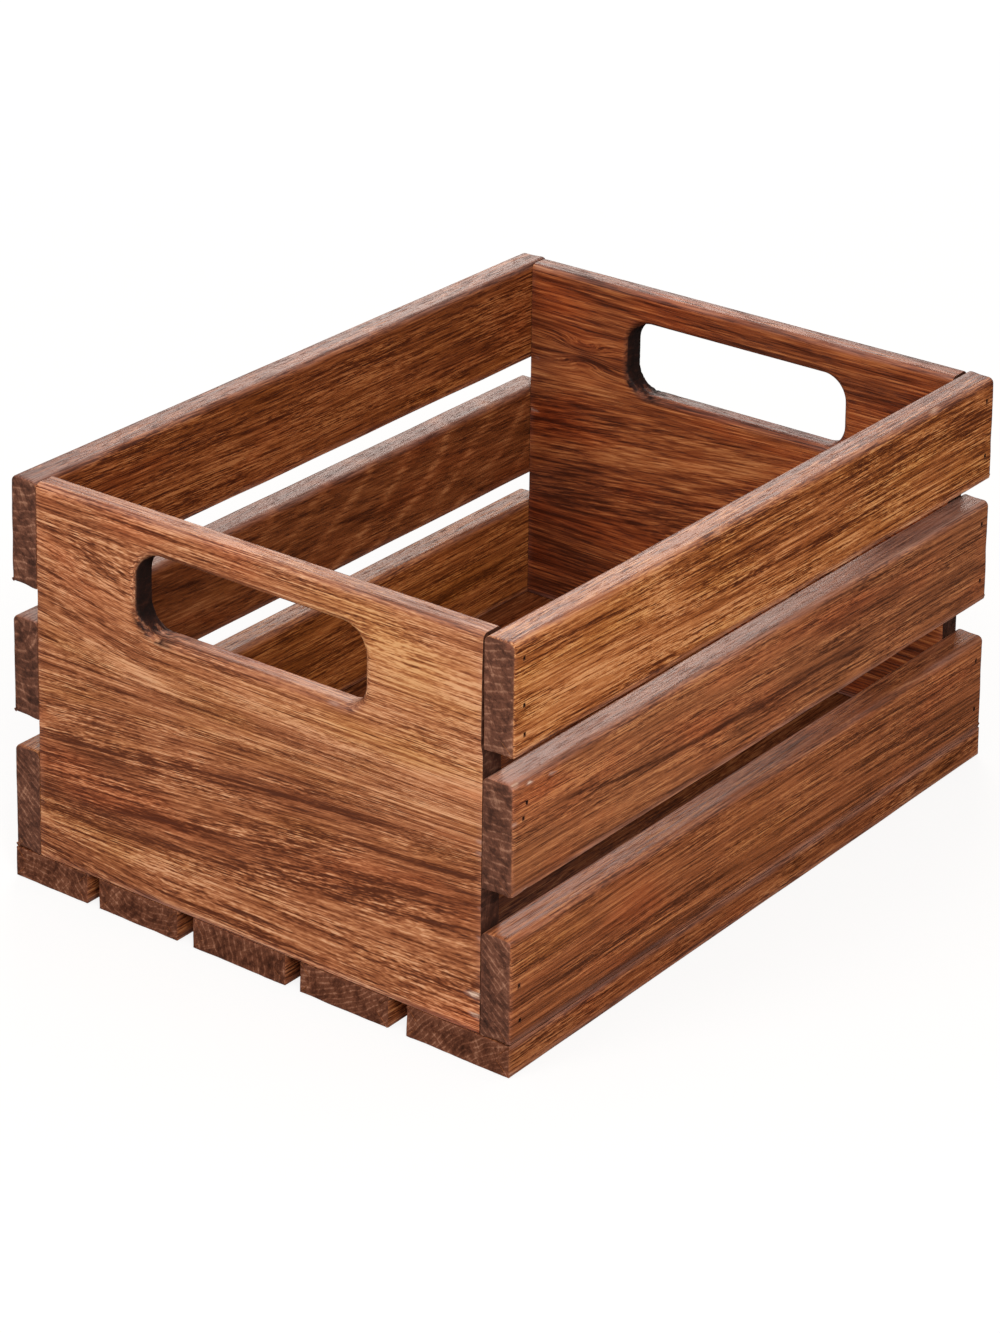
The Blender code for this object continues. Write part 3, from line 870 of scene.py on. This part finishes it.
# palette, seed, contrast, streak, pith (across, depth) mm and its tilt along the board, ring spacing, base tone, red
LOOK = {
    "front_panel": dict(pal=((96, 46, 24), (140, 76, 42), (172, 102, 62), (206, 136, 90), (232, 172, 128)), run=1.25, streak=0.90, grit=1.35, calm=(0.55, 1.35), seed=1.0, contrast=0.90,
                        pith=(-190, 90), tilt=(0.0, 0.0), ring=3.1, base=0.0, red=-0.02, warp=warp_front),
    "rear_panel": dict(pal=((76, 34, 19), (118, 58, 32), (154, 82, 44), (185, 111, 63), (214, 142, 88)), run=0.70, grit=0.12, seed=2.0, contrast=0.95,
                       pith=(-120, 60), tilt=(0.05, 0.0), ring=3.4, base=-0.05, red=0.25, warp=warp_rear),
    "right_slat_top": dict(pal=((92, 38, 8), (138, 70, 25), (175, 97, 45), (208, 129, 71), (236, 164, 106)), run=0.72, grit=1.1, seed=3.0, contrast=0.94,
                           pith=(-60, 55), tilt=(0.02, 0.0), ring=2.6, base=0.02, red=-0.28, warp=warp_slat(0.012, 1.2, 3.0)),
    "right_slat_middle": dict(pal=((88, 45, 24), (130, 72, 40), (163, 95, 54), (190, 116, 69), (216, 145, 90)), run=0.85, grit=1.1, seed=4.0, contrast=0.74,
                              pith=(-70, 40), tilt=(0.03, 0.0), ring=2.8, base=0.0, red=0.12, warp=warp_slat(0.018, 0.8, 4.0)),
    "right_slat_bottom": dict(pal=((90, 44, 21), (128, 69, 35), (160, 88, 47), (186, 110, 63), (213, 138, 83)), run=1.20, seed=5.0, contrast=0.79,
                              pith=(95, 50), tilt=(-0.02, 0.0), ring=2.5, base=-0.03, red=-0.02, warp=warp_slat(0.012, -1.0, 5.0)),
    "left_slat_top": dict(pal=((82, 35, 15), (121, 61, 27), (148, 79, 37), (173, 99, 52), (198, 125, 73)), run=0.55, seed=6.0, contrast=1.05,
                          pith=(-55, 45), tilt=(0.02, 0.0), ring=2.7, base=-0.02, red=-0.1, warp=warp_slat(0.006, 1.0, 6.0)),
    "left_slat_middle": dict(pal=((72, 33, 16), (107, 56, 28), (137, 75, 38), (164, 98, 56), (192, 126, 78)), run=0.32, grit=0.3, seed=7.0, contrast=0.68,
                             pith=(19, 22), tilt=(0.10, 0.05), ring=3.2, base=-0.06, red=0.02, warp=warp_slat(0.02, 2.0, 7.0)),
    "left_slat_bottom": dict(pal=((92, 44, 18), (132, 71, 33), (163, 92, 44), (190, 114, 59), (217, 142, 80)), run=0.60, seed=8.0, contrast=0.85,
                             pith=(90, 40), tilt=(0.0, 0.0), ring=2.5, base=-0.02, red=-0.15, warp=warp_slat(-0.006, 0.6, 8.0)),
    "floor_slat_1": dict(pal=((77, 37, 19), (113, 60, 34), (143, 80, 45), (170, 102, 60), (194, 127, 80)), seed=9.0, contrast=0.9,
                         pith=(16, 34), tilt=(0.02, 0.01), ring=2.0, base=0.0, red=0.05, warp=warp_slat(0.01, 0.8, 9.0)),
    "floor_slat_2": dict(pal=((79, 39, 21), (117, 64, 38), (147, 84, 49), (174, 105, 63), (198, 131, 84)), seed=10.0, contrast=0.9,
                         pith=(30, -26), tilt=(0.02, 0.0), ring=2.2, base=0.0, red=0.0, warp=warp_slat(-0.01, 1.0, 10.0)),
    "floor_slat_3": dict(pal=((75, 37, 19), (111, 58, 34), (141, 78, 45), (167, 100, 60), (192, 125, 80)), seed=11.0, contrast=0.9,
                         pith=(-24, 30), tilt=(0.03, 0.0), ring=2.4, base=-0.03, red=0.1, warp=warp_slat(0.012, -0.8, 11.0)),
    "floor_slat_4": dict(pal=((77, 37, 19), (115, 61, 34), (145, 82, 47), (172, 103, 61), (196, 129, 82)), seed=12.0, contrast=0.9,
                         pith=(-10, -40), tilt=(0.0, 0.02), ring=2.3, base=0.0, red=-0.05, warp=warp_slat(-0.008, 0.6, 12.0)),
    "floor_slat_5": dict(pal=((79, 39, 21), (117, 63, 36), (147, 83, 47), (174, 104, 61), (198, 130, 82)), seed=13.0, contrast=0.9,
                         pith=(60, 36), tilt=(0.01, 0.0), ring=2.2, base=0.02, red=0.0, warp=warp_slat(0.01, 0.6, 13.0)),
}

# pale chips where the arrises have been knocked: board, mm (along, across, depth), radius mm, strength
CHIPS = {
    "front_panel": [((200.8, 74.5, 0), 0.9, 1.0), ((200.8, 79, 0), 1.0, 1.2), ((200.9, 99, 0), 0.6, 0.8), ((199.0, 131.2, 0), 1.5, 2.1),
                    ((199.4, 138.8, 0), 1.25, 1.9), ((200.9, 110, 0), 0.7, 0.7), ((137, 44.2, 1.0), 1.2, 1.0), ((0.2, 60, 0), 0.7, 0.6)],
    "right_slat_middle": [((2.2, 1.0, 1.0), 1.3, 1.0), ((9.5, 2.1, 0.2), 0.85, 2.3), ((22.0, 3.4, 0.0), 0.75, 1.8), ((8.0, 40.0, 0.3), 0.9, 1.5), ((1.3, 14.2, 0.0), 0.8, 1.3)],
    "right_slat_top": [((0.4, 1.4, 2.4), 1.2, 0.8), ((118, 1.2, 1.0), 1.3, 0.6), ((262, 0.9, 1.2), 1.6, 0.8)],
    "right_slat_bottom": [((1.0, 1.2, 1.0), 1.0, 0.8), ((0.5, 37, 0.5), 0.8, 0.6)],
    "rear_panel": [((1.6, 63.5, 0), 0.9, 1.6), ((3.0, 40, 0), 0.6, 0.9)],
    "floor_slat_5": [((0.6, 43, 10.6), 1.4, 0.7)],
    "floor_slat_2": [((0.4, 0.6, 4.0), 1.1, 0.6)],
}


# painted light falloff: boards are made lighter where more light falls and darker where it falls off, as tone at the
# near upper, far upper, near lower and far lower corners
PAINTED_LIGHT_FALLOFF = {
    "front_panel": (0.08, 0.15, -0.04, -0.14),
    "right_slat_top": (0.20, -0.48, 0.26, -0.12),
    "right_slat_middle": (0.00, -0.20, 0.12, 0.12),
    "right_slat_bottom": (0.14, 0.00, 0.03, -0.22),
    "left_slat_top": (-0.06, -0.26, -0.10, 0.10),
}


def smooth_lines(name, l, d, t):
    """Warped across-grain place, tone and red of a board."""
    look = LOOK[name]
    psi = look["warp"](l, d, t)
    tone = np.full(len(l), look["base"])
    for k, (pts, w, amt) in enumerate(BANDS.get(name, [])):
        tone = tone + streak(l, d + 0.25 * t, pts, w, amt, seed=look["seed"] + 0.37 * k)
    red = look["red"] + 0.35 * noise_at(l, psi, t, 60, 12, 12, look["seed"] + 20)
    # painted light and shade: each board's tone is shifted towards its four corners
    if name in PAINTED_LIGHT_FALLOFF:
        nu, fu, nl, fl = PAINTED_LIGHT_FALLOFF[name]
        a, b = np.clip(l / SIZE[name][0], 0, 1), np.clip(d / SIZE[name][1], 0, 1)
        tone = tone + (nu * (1 - a) + fu * a) * (1 - b) + (nl * (1 - a) + fl * a) * b
    if name == "left_slat_middle":  # flame figure: pale ripples that lean across the grain
        ph = (l + 0.95 * d + 0.012 * d * d + 7 * noise_at(l, d, t, 30, 14, 14, 41.0)) / 27.0
        rip = 0.5 + 0.5 * np.cos(2 * math.pi * ph)
        broken = 0.5 + 0.5 * noise_at(l, d, t, 5, 0.9, 3, 43.0, 2)
        tone = tone + step01(90, 150, l) * (rip ** 5) * (0.10 + 3.4 * np.maximum(broken - 0.36, 0)) * 1.0 - 0.12 * step01(90, 150, l)
    if name == "front_panel":
        tone = tone - 0.16 * step01(70, 84, d) * (1 - step01(112, 128, d)) + 0.16 * (1 - step01(54, 66, d)) * step01(20, 80, l)
        red = red + 0.25 * (1 - step01(6, 14, d)) + 0.20 * step01(74, 88, d) * (1 - step01(116, 126, d)) * (1 - step01(60, 140, l)) - 0.18 * step01(100, 180, l) * (1 - step01(50, 70, d))
        red = red + 0.22 * step01(110, 150, l) * step01(82, 98, d)
    if name == "right_slat_top":  # lighter past the middle, darker again at the far end
        tone = tone + (0.15 * gauss((l - 175) / 42.0) - 0.18 * step01(240, 300, l)) * (1 - 0.5 * np.clip(d / 46.0, 0, 1))
    if name == "rear_panel":
        knot = gauss((l - 27) / 6.0) * gauss((d - 33.5) / 3.0)
        tone = tone - 0.6 * knot + 0.7 * gauss((l - 22) / 3.0) * gauss((d - 34.5) / 1.2) - 0.18 * step01(95, 130, d)
        # painted shade: the rear panel is darker at its left part, by the corner; the other two terms lift and lower
        # patches of tone
        tone = tone - 0.42 * (1 - step01(18, 50, l)) * step01(58, 76, d) + 0.22 * step01(28, 48, l) * gauss((d - 57) / 9.0) - 0.25 * gauss((l - 50) / 16.0) * gauss((d - 78) / 9.0)
    return psi, tone, red


def dress(name, me, l, d, t, grain_axis, co, nr, hole=None, brads=()):
    """Attributes and relief for a board."""
    look = LOOK[name]
    psi, tone, red = smooth_lines(name, l, d, t)
    px, pt = look["pith"]
    tx, tt = look["tilt"]
    wand = 5.0 * noise_at(l, l * 0, l * 0, 120, 1, 1, look["seed"] + 30)
    rho = np.hypot(psi - px - tx * (l - 150) - wand, t - pt - tt * (l - 150))
    endness = np.abs(nr @ np.array(grain_axis, float))
    endg = step01(0.55, 0.88, endness)
    L, D, T = SIZE[name]
    # distance to the arrises, for rubbed edges
    dd = np.minimum(d, D - d)
    dt = np.minimum(t, T - t)
    dl = np.minimum(l, L - l)
    edge = np.sort(np.stack([dd, dt, dl], 1), 1)
    near = gauss(edge[:, 1] / 1.15) * gauss(edge[:, 0] / 1.6)
    patchy = 0.5 + 0.5 * noise_at(l, d, t, 17, 9, 9, look["seed"] + 50, 2)
    at_end = (dl <= edge[:, 1] + 1e-6).astype(float)
    wear_and_sheen = near * (0.25 + 0.9 * patchy ** 1.5) * (1 - 0.7 * at_end)
    up = step01(0.62, 0.98, nr[:, 2]) * (1 - endg)
    if name.endswith("top") or name.endswith("panel"):  # painted shade: the top faces are darker in colour to offset the strong light they catch, so their sheen reads paler and greyer
        tone = tone - 0.28 * up
    # painted sheen: the slats' top faces are paler and greyer in colour as if catching light, most on the middle slats,
    # which lie in the shade of the slat above
    if "slat" in name and not name.startswith("floor"):
        wear_and_sheen = wear_and_sheen + up * ({"top": 0.55, "middle": 0.85, "bottom": 0.0}[name.split("_")[-1]] + 0.30 * patchy)
    # painted sheen: the panels' top edges are paler
    elif name.endswith("panel"):
        wear_and_sheen = wear_and_sheen + up * (0.22 + 0.22 * patchy) * (d < 12)
    soil_and_shade = np.zeros(len(l))
    # painted shade: the floor boards' top faces inside the crate are darkened, most on the ones by the right wall
    if name.startswith("floor"):
        soil_and_shade = soil_and_shade + {"4": 0.62, "5": 0.50}.get(name[-1], 0.40) * up
    if name.endswith("panel"):  # the sawn ends show in the gaps between the slats, darkened there with painted shade
        soil_and_shade = soil_and_shade + (0.64 - 0.16 * step01(70, 90, d)) * endg
    # painted shade: the bottom right slat's top face, under the middle slat, is darkened
    if name == "right_slat_bottom":
        soil_and_shade = soil_and_shade + 0.36 * step01(0.15, 0.6, nr[:, 2]) * (1 - endg) * step01(20, 170, l)
    relief = 0.030 * noise_at(l, psi, t, 34, 0.9, 0.9, look["seed"] + 60, 2) + 0.035 * noise_at(l, psi, t, 60, 2.6, 2.6, look["seed"] + 61)
    relief = relief * (1 - 0.6 * endg) + endg * 0.035 * noise_at(l, d, t, 3, 1.1, 1.1, look["seed"] + 62, 2)
    # hand sanding: the round-overs wander a little
    sand = near * (0.10 + 0.16 * noise_at(l, d, t, 26, 8, 8, look["seed"] + 63))
    sink = 0.075 - relief + np.maximum(sand, 0)
    for (cl, cd, ct), r, amt in CHIPS.get(name, []):
        stretch = 3.2
        dist = np.sqrt(((l - cl) / stretch) ** 2 + (d - cd) ** 2 + (t - ct) ** 2) / r
        dist = dist * (1 + 0.25 * noise_at(l, d, t, 1.3, 0.8, 0.8, cl))
        bite = np.clip(1 - dist, 0, 1)
        sink = sink + min(amt, 1.6) * 0.42 * bite ** 0.8
        wear_and_sheen = wear_and_sheen + amt * 1.0 * step01(0.0, 0.5, bite)
    if hole is not None:
        hc, hz, w, h, r = hole
        u, v = np.abs(l - hc) - (w / 2 - r), np.abs(d - hz) - (h / 2 - r)
        e = np.hypot(np.maximum(u, 0), np.maximum(v, 0)) + np.minimum(np.maximum(u, v), 0) - r
        inside = (1 - step01(0.0, 3.4, e))
        left = step01(-2, 8, (hc - w / 2 + 9) - l) if True else 0
        rough_corner = gauss((l - (hc - w / 2 + 6.5)) / 9.0) * gauss((d - (hz + h / 2 - 1.0)) / 6.0)
        wallmask = step01(-0.2, 0.25, 3.0 - e) * (e < 3.6)
        # the hole's left wall is darkened: burnt end grain, with painted shade
        soil_and_shade = soil_and_shade + 0.95 * inside * left * step01(-0.4, 2.6, t if name == "front_panel" else T - t + 2.0)
        soil_and_shade = soil_and_shade + 1.35 * wallmask * rough_corner * np.clip(0.46 + 1.5 * noise_at(l, d - 0.4 * (l - hc + w / 2), t, 3.6, 0.8, 0.8, 77.0, 2), 0, 1)
        # painted sheen: a pale band along the hole's lower wall
        wear_and_sheen = wear_and_sheen + 0.15 * wallmask * step01(0.2, 0.9, (d - hz) / (h / 2)) * (1 - left) * step01(0.3, 2.8, 3.2 - e)
        wear_and_sheen = wear_and_sheen + 0.10 * wallmask * (0.4 + patchy)
        tone = tone - 0.30 * wallmask * step01(0.2, 0.9, (d - hz) / (h / 2))
        jag = noise_at(l, d, t, 1.5, 1.0, 1.2, 81.0, 2)
        sink = sink + wallmask * rough_corner * np.clip(0.12 + 0.62 * jag, 0, 0.6)
        fuzz = gauss((l - (hc + w / 2 - 6.0)) / 5.0) * gauss((d - (hz + h / 2 + 0.5)) / 2.0) * wallmask
        wear_and_sheen = wear_and_sheen + 0.75 * fuzz * (0.6 + 0.4 * noise_at(l, d, t, 1.2, 0.7, 0.7, 83.0))
        sink = sink + 0.16 * fuzz * np.abs(noise_at(l, d, t, 1.4, 0.8, 0.8, 84.0))
    for bl, bd, bt in brads:  # the brads' holes are dark inside, and the oil has drawn a faint ring round them
        q = np.maximum(np.abs(l - bl) / 0.56, np.abs(d - bd) / 0.71)
        deep = np.abs(t - bt)
        soil_and_shade = soil_and_shade + 0.9 * (q < 1.12) * step01(0.02, 0.12, deep) * (deep < 1.3)
        soil_and_shade = soil_and_shade + 0.16 * gauss(np.hypot(l - bl, d - bd) / 0.8) * (deep < 0.6)
    soil_and_shade = soil_and_shade + {"right_slat_middle": 0.36, "right_slat_bottom": 0.10}.get(name, 0.22) * endg * (0.5 + 0.5 * noise_at(l, d, t, 5, 5, 5, look["seed"] + 70))
    moved = co - nr * (np.clip(sink, 0.0, 0.9) * MM)[:, None]
    me.vertices.foreach_set("co", moved.astype(np.float32).ravel())
    put_vector(me, "wv", l, psi, t + 0.35 * (d - psi))
    put_vector(me, "wa", rho, tone, red)
    put_vector(me, "wb", wear_and_sheen, soil_and_shade, endg)
    turn = np.arctan2(psi - px - tx * (l - 150), t - pt - tt * (l - 150))
    put_vector(me, "wr", turn * 0.75 * math.hypot(px, pt), rho, turn * 0 + look["seed"])
    me.update()


SIZE = {}
MATERIALS = {}


def add_piece(name, me):
    me.shade_smooth()
    me.set_sharp_from_angle(angle=math.radians(48))
    look = LOOK[name]
    mat = wood_material("wood_" + name, [srgb(*c) for c in look["pal"]], look["seed"], look["contrast"], look.get("streak", 1.0), ring_mm=look["ring"], run=look.get("run", 0.6), grit_amt=look.get("grit", 1.0), calm=look.get("calm", (0.38, 1.72)), spec=0.05 if name.startswith("floor") else 0.34)
    me.materials.append(mat)
    ob = bpy.data.objects.new(name + "_board", me)
    bpy.context.scene.collection.objects.link(ob)
    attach(ob, "root")
    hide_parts(name)
    return ob


def brads_of(board_name):
    """The brads that go through this board: each one's name and the low and high corners of its box, in mm, from the
    frame.
    """
    out = []
    short = board_name.replace("_slat_", "_") if not board_name.startswith("floor") else "floor_" + board_name[-1]
    for n in sorted(frame["nodes"]):
        if n.startswith("brad_" + short + "_"):
            lo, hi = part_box(n)
            out.append((n, np.array(lo) * 1000, np.array(hi) * 1000))
    return out


def make_slat(name):
    lo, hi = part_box(name)
    lo, hi = np.array(lo) * 1000, np.array(hi) * 1000
    mid, size = (lo + hi) / 2, hi - lo
    right = name.startswith("right")
    b = Board(size[0] / 2, size[2] / 2, size[1] / 2, [2.4, 2.4, 0.5, 0.5], 1.25, 0.72, 0.9, 2.1, 14, crisp_side=-1 if right else 1)
    for k, (n, blo, bhi) in enumerate(brads_of(name)):
        bm = (blo + bhi) / 2
        b.pocket(4 if right else 2, bm[1] - mid[1], bm[2] - mid[2], 0.52, 0.66, 0.56, 1.7 * k)
    b.finish_tube()
    b.finish_caps(6)

    def world(p):
        return np.stack([mid[0] + p[:, 0], mid[1] + p[:, 2], mid[2] + p[:, 1]], 1) * MM

    me = b.mesh(name + "_mesh", world)
    co, nr = coords(me)
    p = co * 1000
    SIZE[name] = (size[1], size[2], size[0])
    l = p[:, 1] - lo[1]
    d = hi[2] - p[:, 2]
    t = (hi[0] - p[:, 0])
    outer = 0.0 if right else size[0]
    dress(name, me, l, d, t, (0, 1, 0), co, nr, brads=[((q[1] + r[1]) / 2 - lo[1], hi[2] - (q[2] + r[2]) / 2, outer) for _, q, r in brads_of(name)])
    return add_piece(name, me)


def make_floor(name):
    lo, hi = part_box(name)
    lo, hi = np.array(lo) * 1000, np.array(hi) * 1000
    mid, size = (lo + hi) / 2, hi - lo
    b = Board(size[0] / 2, size[2] / 2, size[1] / 2, [0.4] * 4, 0.45, 0.72, 0.9, 2.1, 14, round_steps=3)
    for k, (n, blo, bhi) in enumerate(brads_of(name)):
        bm = (blo + bhi) / 2
        b.pocket(3, bm[1] - mid[1], bm[0] - mid[0], 0.52, 0.66, 0.56, 1.3 * k)
    b.finish_tube()
    b.finish_caps(6)

    def world(p):
        return np.stack([mid[0] + p[:, 0], mid[1] + p[:, 2], mid[2] + p[:, 1]], 1) * MM

    me = b.mesh(name + "_mesh", world)
    co, nr = coords(me)
    p = co * 1000
    SIZE[name] = (size[1], size[0], size[2])
    dress(name, me, p[:, 1] - lo[1], p[:, 0] - lo[0], hi[2] - p[:, 2], (0, 1, 0), co, nr,
          brads=[((q[1] + r[1]) / 2 - lo[1], (q[0] + r[0]) / 2 - lo[0], size[2]) for _, q, r in brads_of(name)])
    return add_piece(name, me)


HOLES = {"front_panel": (-1.6, 129.0), "rear_panel": (0.2, 129.0)}


def make_panel(name):
    lo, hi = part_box(name)
    lo, hi = np.array(lo) * 1000, np.array(hi) * 1000
    mid, size = (lo + hi) / 2, hi - lo
    b = Board(size[1] / 2, size[2] / 2, size[0] / 2, [2.4, 2.4, 0.5, 0.5], 0.25, 0.72, 0.9, 1.45, 8)
    hx, hz = HOLES[name]
    b.hand_hole(hx - mid[0], hz - mid[2], 102.6, 29.8, 10.0, 3.0, 8.2, 9, 5, 4)
    b.finish_tube()
    b.finish_caps(5)

    def world(p):
        return np.stack([mid[0] + p[:, 2], mid[1] + p[:, 0], mid[2] + p[:, 1]], 1) * MM

    me = b.mesh(name + "_mesh", world)
    co, nr = coords(me)
    p = co * 1000
    SIZE[name] = (size[0], size[2], size[1])
    l = p[:, 0] - lo[0]
    d = hi[2] - p[:, 2]
    t = p[:, 1] - lo[1]
    if name == "front_panel":
        gap_at_top_right(co, lo, hi)
    dress(name, me, l, d, t, (1, 0, 0), co, nr, hole=(hx - lo[0], hi[2] - hz, 102.6, 29.8, 10.0))
    return add_piece(name, me)


for slat in ("left_slat_top", "left_slat_middle", "left_slat_bottom", "right_slat_top", "right_slat_middle", "right_slat_bottom"):
    make_slat(slat)
for k in range(1, 6):
    make_floor("floor_slat_%d" % k)
for panel in ("front_panel", "rear_panel"):
    make_panel(panel)


# ------------------------------------------------------------------ brads
def steel():
    mat = bpy.data.materials.new("brad_steel")
    mat.use_nodes = True
    nt = mat.node_tree
    nt.nodes.clear()
    N = Nodes(nt)
    out = N.new("ShaderNodeOutputMaterial")
    bsdf = N.new("ShaderNodeBsdfPrincipled")
    N.link(bsdf.outputs["BSDF"], out.inputs["Surface"])
    tc = N.new("ShaderNodeTexCoord").outputs["Object"]
    n1 = N.noise(tc, 3.0, 0.6, scale=900.0)
    n2 = N.noise(tc, 2.0, 0.5, scale=3200.0)
    f = N.math("MULTIPLY_ADD", n2, 0.5, N.math("MULTIPLY", n1, 0.6))
    col = N.ramp(f, [(0.25, srgb(30, 24, 21)), (0.55, srgb(62, 52, 46)), (0.8, srgb(104, 78, 58))])
    N.link(col, bsdf.inputs["Base Color"])
    bsdf.inputs["Metallic"].default_value = 0.85
    N.link(N.math("MULTIPLY_ADD", n1, 0.4, 0.32), bsdf.inputs["Roughness"])
    bump = N.new("ShaderNodeBump")
    bump.inputs["Strength"].default_value = 0.4
    bump.inputs["Distance"].default_value = 0.00005
    N.link(f, bump.inputs["Height"])
    N.link(bump.outputs["Normal"], bsdf.inputs["Normal"])
    return mat


STEEL = steel()
for n, ob in frame["nodes"].items():
    if n.startswith("brad_"):
        ob.data.materials.clear()
        ob.data.materials.append(STEEL)


# ------------------------------------------------------------------ floor, light, camera
def simple_material(name, color, rough):
    mat = bpy.data.materials.new(name)
    mat.use_nodes = True
    b = mat.node_tree.nodes["Principled BSDF"]
    b.inputs["Base Color"].default_value = color
    b.inputs["Roughness"].default_value = rough
    b.inputs["Specular IOR Level"].default_value = 0.1
    return mat


floor_me = bpy.data.meshes.new("studio_floor")
F = 30.0
floor_me.from_pydata([(-F, -F, -0.0004), (F, -F, -0.0004), (F, F, -0.0004), (-F, F, -0.0004)], [], [(0, 1, 2, 3)])


def studio_floor_material():
    """White paper sweep: bright where the camera looks, flagged off in reflections so that the wood keeps its depth."""
    mat = bpy.data.materials.new("studio_floor_mat")
    mat.use_nodes = True
    nt = mat.node_tree
    nt.nodes.clear()
    N = Nodes(nt)
    out = N.new("ShaderNodeOutputMaterial")
    path = N.new("ShaderNodeLightPath")
    diff = N.new("ShaderNodeBsdfDiffuse")
    bounce = N.mix(path.outputs["Is Camera Ray"], (0.62, 0.615, 0.61, 1), (0.90, 0.895, 0.89, 1))
    N.link(N.mix(path.outputs["Is Glossy Ray"], bounce, (0.05, 0.04, 0.035, 1)), diff.inputs["Color"])
    glow = N.new("ShaderNodeEmission")
    glow.inputs["Color"].default_value = (1.0, 0.995, 0.99, 1)
    glow.inputs["Strength"].default_value = 1.06
    mix = N.new("ShaderNodeMixShader")
    N.link(N.math("MULTIPLY", path.outputs["Is Camera Ray"], 0.80), mix.inputs[0])
    N.link(diff.outputs[0], mix.inputs[1])
    N.link(glow.outputs[0], mix.inputs[2])
    N.link(mix.outputs[0], out.inputs["Surface"])
    return mat


floor_me.materials.append(studio_floor_material())
floor_ob = bpy.data.objects.new("studio_floor", floor_me)
bpy.context.scene.collection.objects.link(floor_ob)

world = bpy.data.worlds.new("studio")
bpy.context.scene.world = world
world.use_nodes = True
WN = Nodes(world.node_tree)
bg = world.node_tree.nodes["Background"]
bg.inputs["Color"].default_value = (1.0, 0.99, 0.985, 1)
path = WN.new("ShaderNodeLightPath")
WN.link(WN.math("ADD", 0.42, WN.math("MULTIPLY_ADD", path.outputs["Is Camera Ray"], 0.58, WN.math("MULTIPLY", path.outputs["Is Glossy Ray"], -0.34))), bg.inputs["Strength"])


def area(name, loc, target, size, power, color=(1, 1, 1)):
    light = bpy.data.lights.new(name, "AREA")
    light.shape = "DISK"
    light.size = size
    light.energy = power
    light.color = color
    ob = bpy.data.objects.new(name, light)
    bpy.context.scene.collection.objects.link(ob)
    ob.location = loc
    ob.rotation_mode = "QUATERNION"
    ob.rotation_quaternion = (Vector(target) - Vector(loc)).to_track_quat("-Z", "Y")
    return ob


area("key", (-0.5, -1.7, 1.5), (0, 0, 0.08), 0.9, 11.5, (1.0, 0.985, 0.96))
area("top", (0.1, 0.2, 1.9), (0, 0, 0.08), 1.3, 2.9, (1.0, 0.99, 0.98))
area("side", (1.02, -0.97, 1.08), (0, 0, 0.08), 0.6, 13.0, (1.0, 0.98, 0.95))
area("back", (-1.17, 1.57, 1.02), (0, 0, 0.12), 1.0, 14.0, (1.0, 0.93, 0.87))

cam_data = bpy.data.cameras.new("camera")
cam = bpy.data.objects.new("camera", cam_data)
bpy.context.scene.collection.objects.link(cam)
bpy.context.scene.camera = cam
CAM_AT = Vector((0.85527797, -1.14886225, 0.73568941))
YAW, PITCH, ROLL, FOCAL = 0.646870577, 0.241404016, 0.012773848, 4284.5458 * 0.964
SHIFT_Y = (666.5 - (-200.0)) * 0.964 / 1333.0
fw = Vector((-math.sin(YAW) * math.cos(PITCH), math.cos(YAW) * math.cos(PITCH), -math.sin(PITCH)))
rt = Vector((math.cos(YAW), math.sin(YAW), 0.0))
up = rt.cross(fw)
rt2 = math.cos(ROLL) * rt + math.sin(ROLL) * up
up2 = -math.sin(ROLL) * rt + math.cos(ROLL) * up
rot = Matrix((rt2, up2, -fw)).transposed()
cam.location = CAM_AT
cam.rotation_mode = "QUATERNION"
cam.rotation_quaternion = rot.to_quaternion()
cam_data.sensor_width = 36.0
cam_data.lens = 36.0 * FOCAL / 1333.0
cam_data.clip_start = 0.05
cam_data.clip_end = 100.0
# A view camera's rise keeps the uprights parallel. It belongs to this place only: from anywhere else the shift is zero.
drv = cam_data.driver_add("shift_y").driver
drv.type = "SCRIPTED"
for axis, var_name in (("LOC_X", "px"), ("LOC_Y", "py")):
    var = drv.variables.new()
    var.name = var_name
    var.type = "TRANSFORMS"
    var.targets[0].id = cam
    var.targets[0].transform_type = axis
    var.targets[0].transform_space = "WORLD_SPACE"
drv.expression = "%.6f * (1 - smoothstep(0.0005, 0.002, fabs(px - %.6f) + fabs(py - %.6f)))" % (-SHIFT_Y, CAM_AT.x, -CAM_AT.y * -1)

bpy.context.scene.view_settings.view_transform = "Standard"
bpy.context.scene.view_settings.look = "None"
bpy.context.scene.view_settings.exposure = 0.0
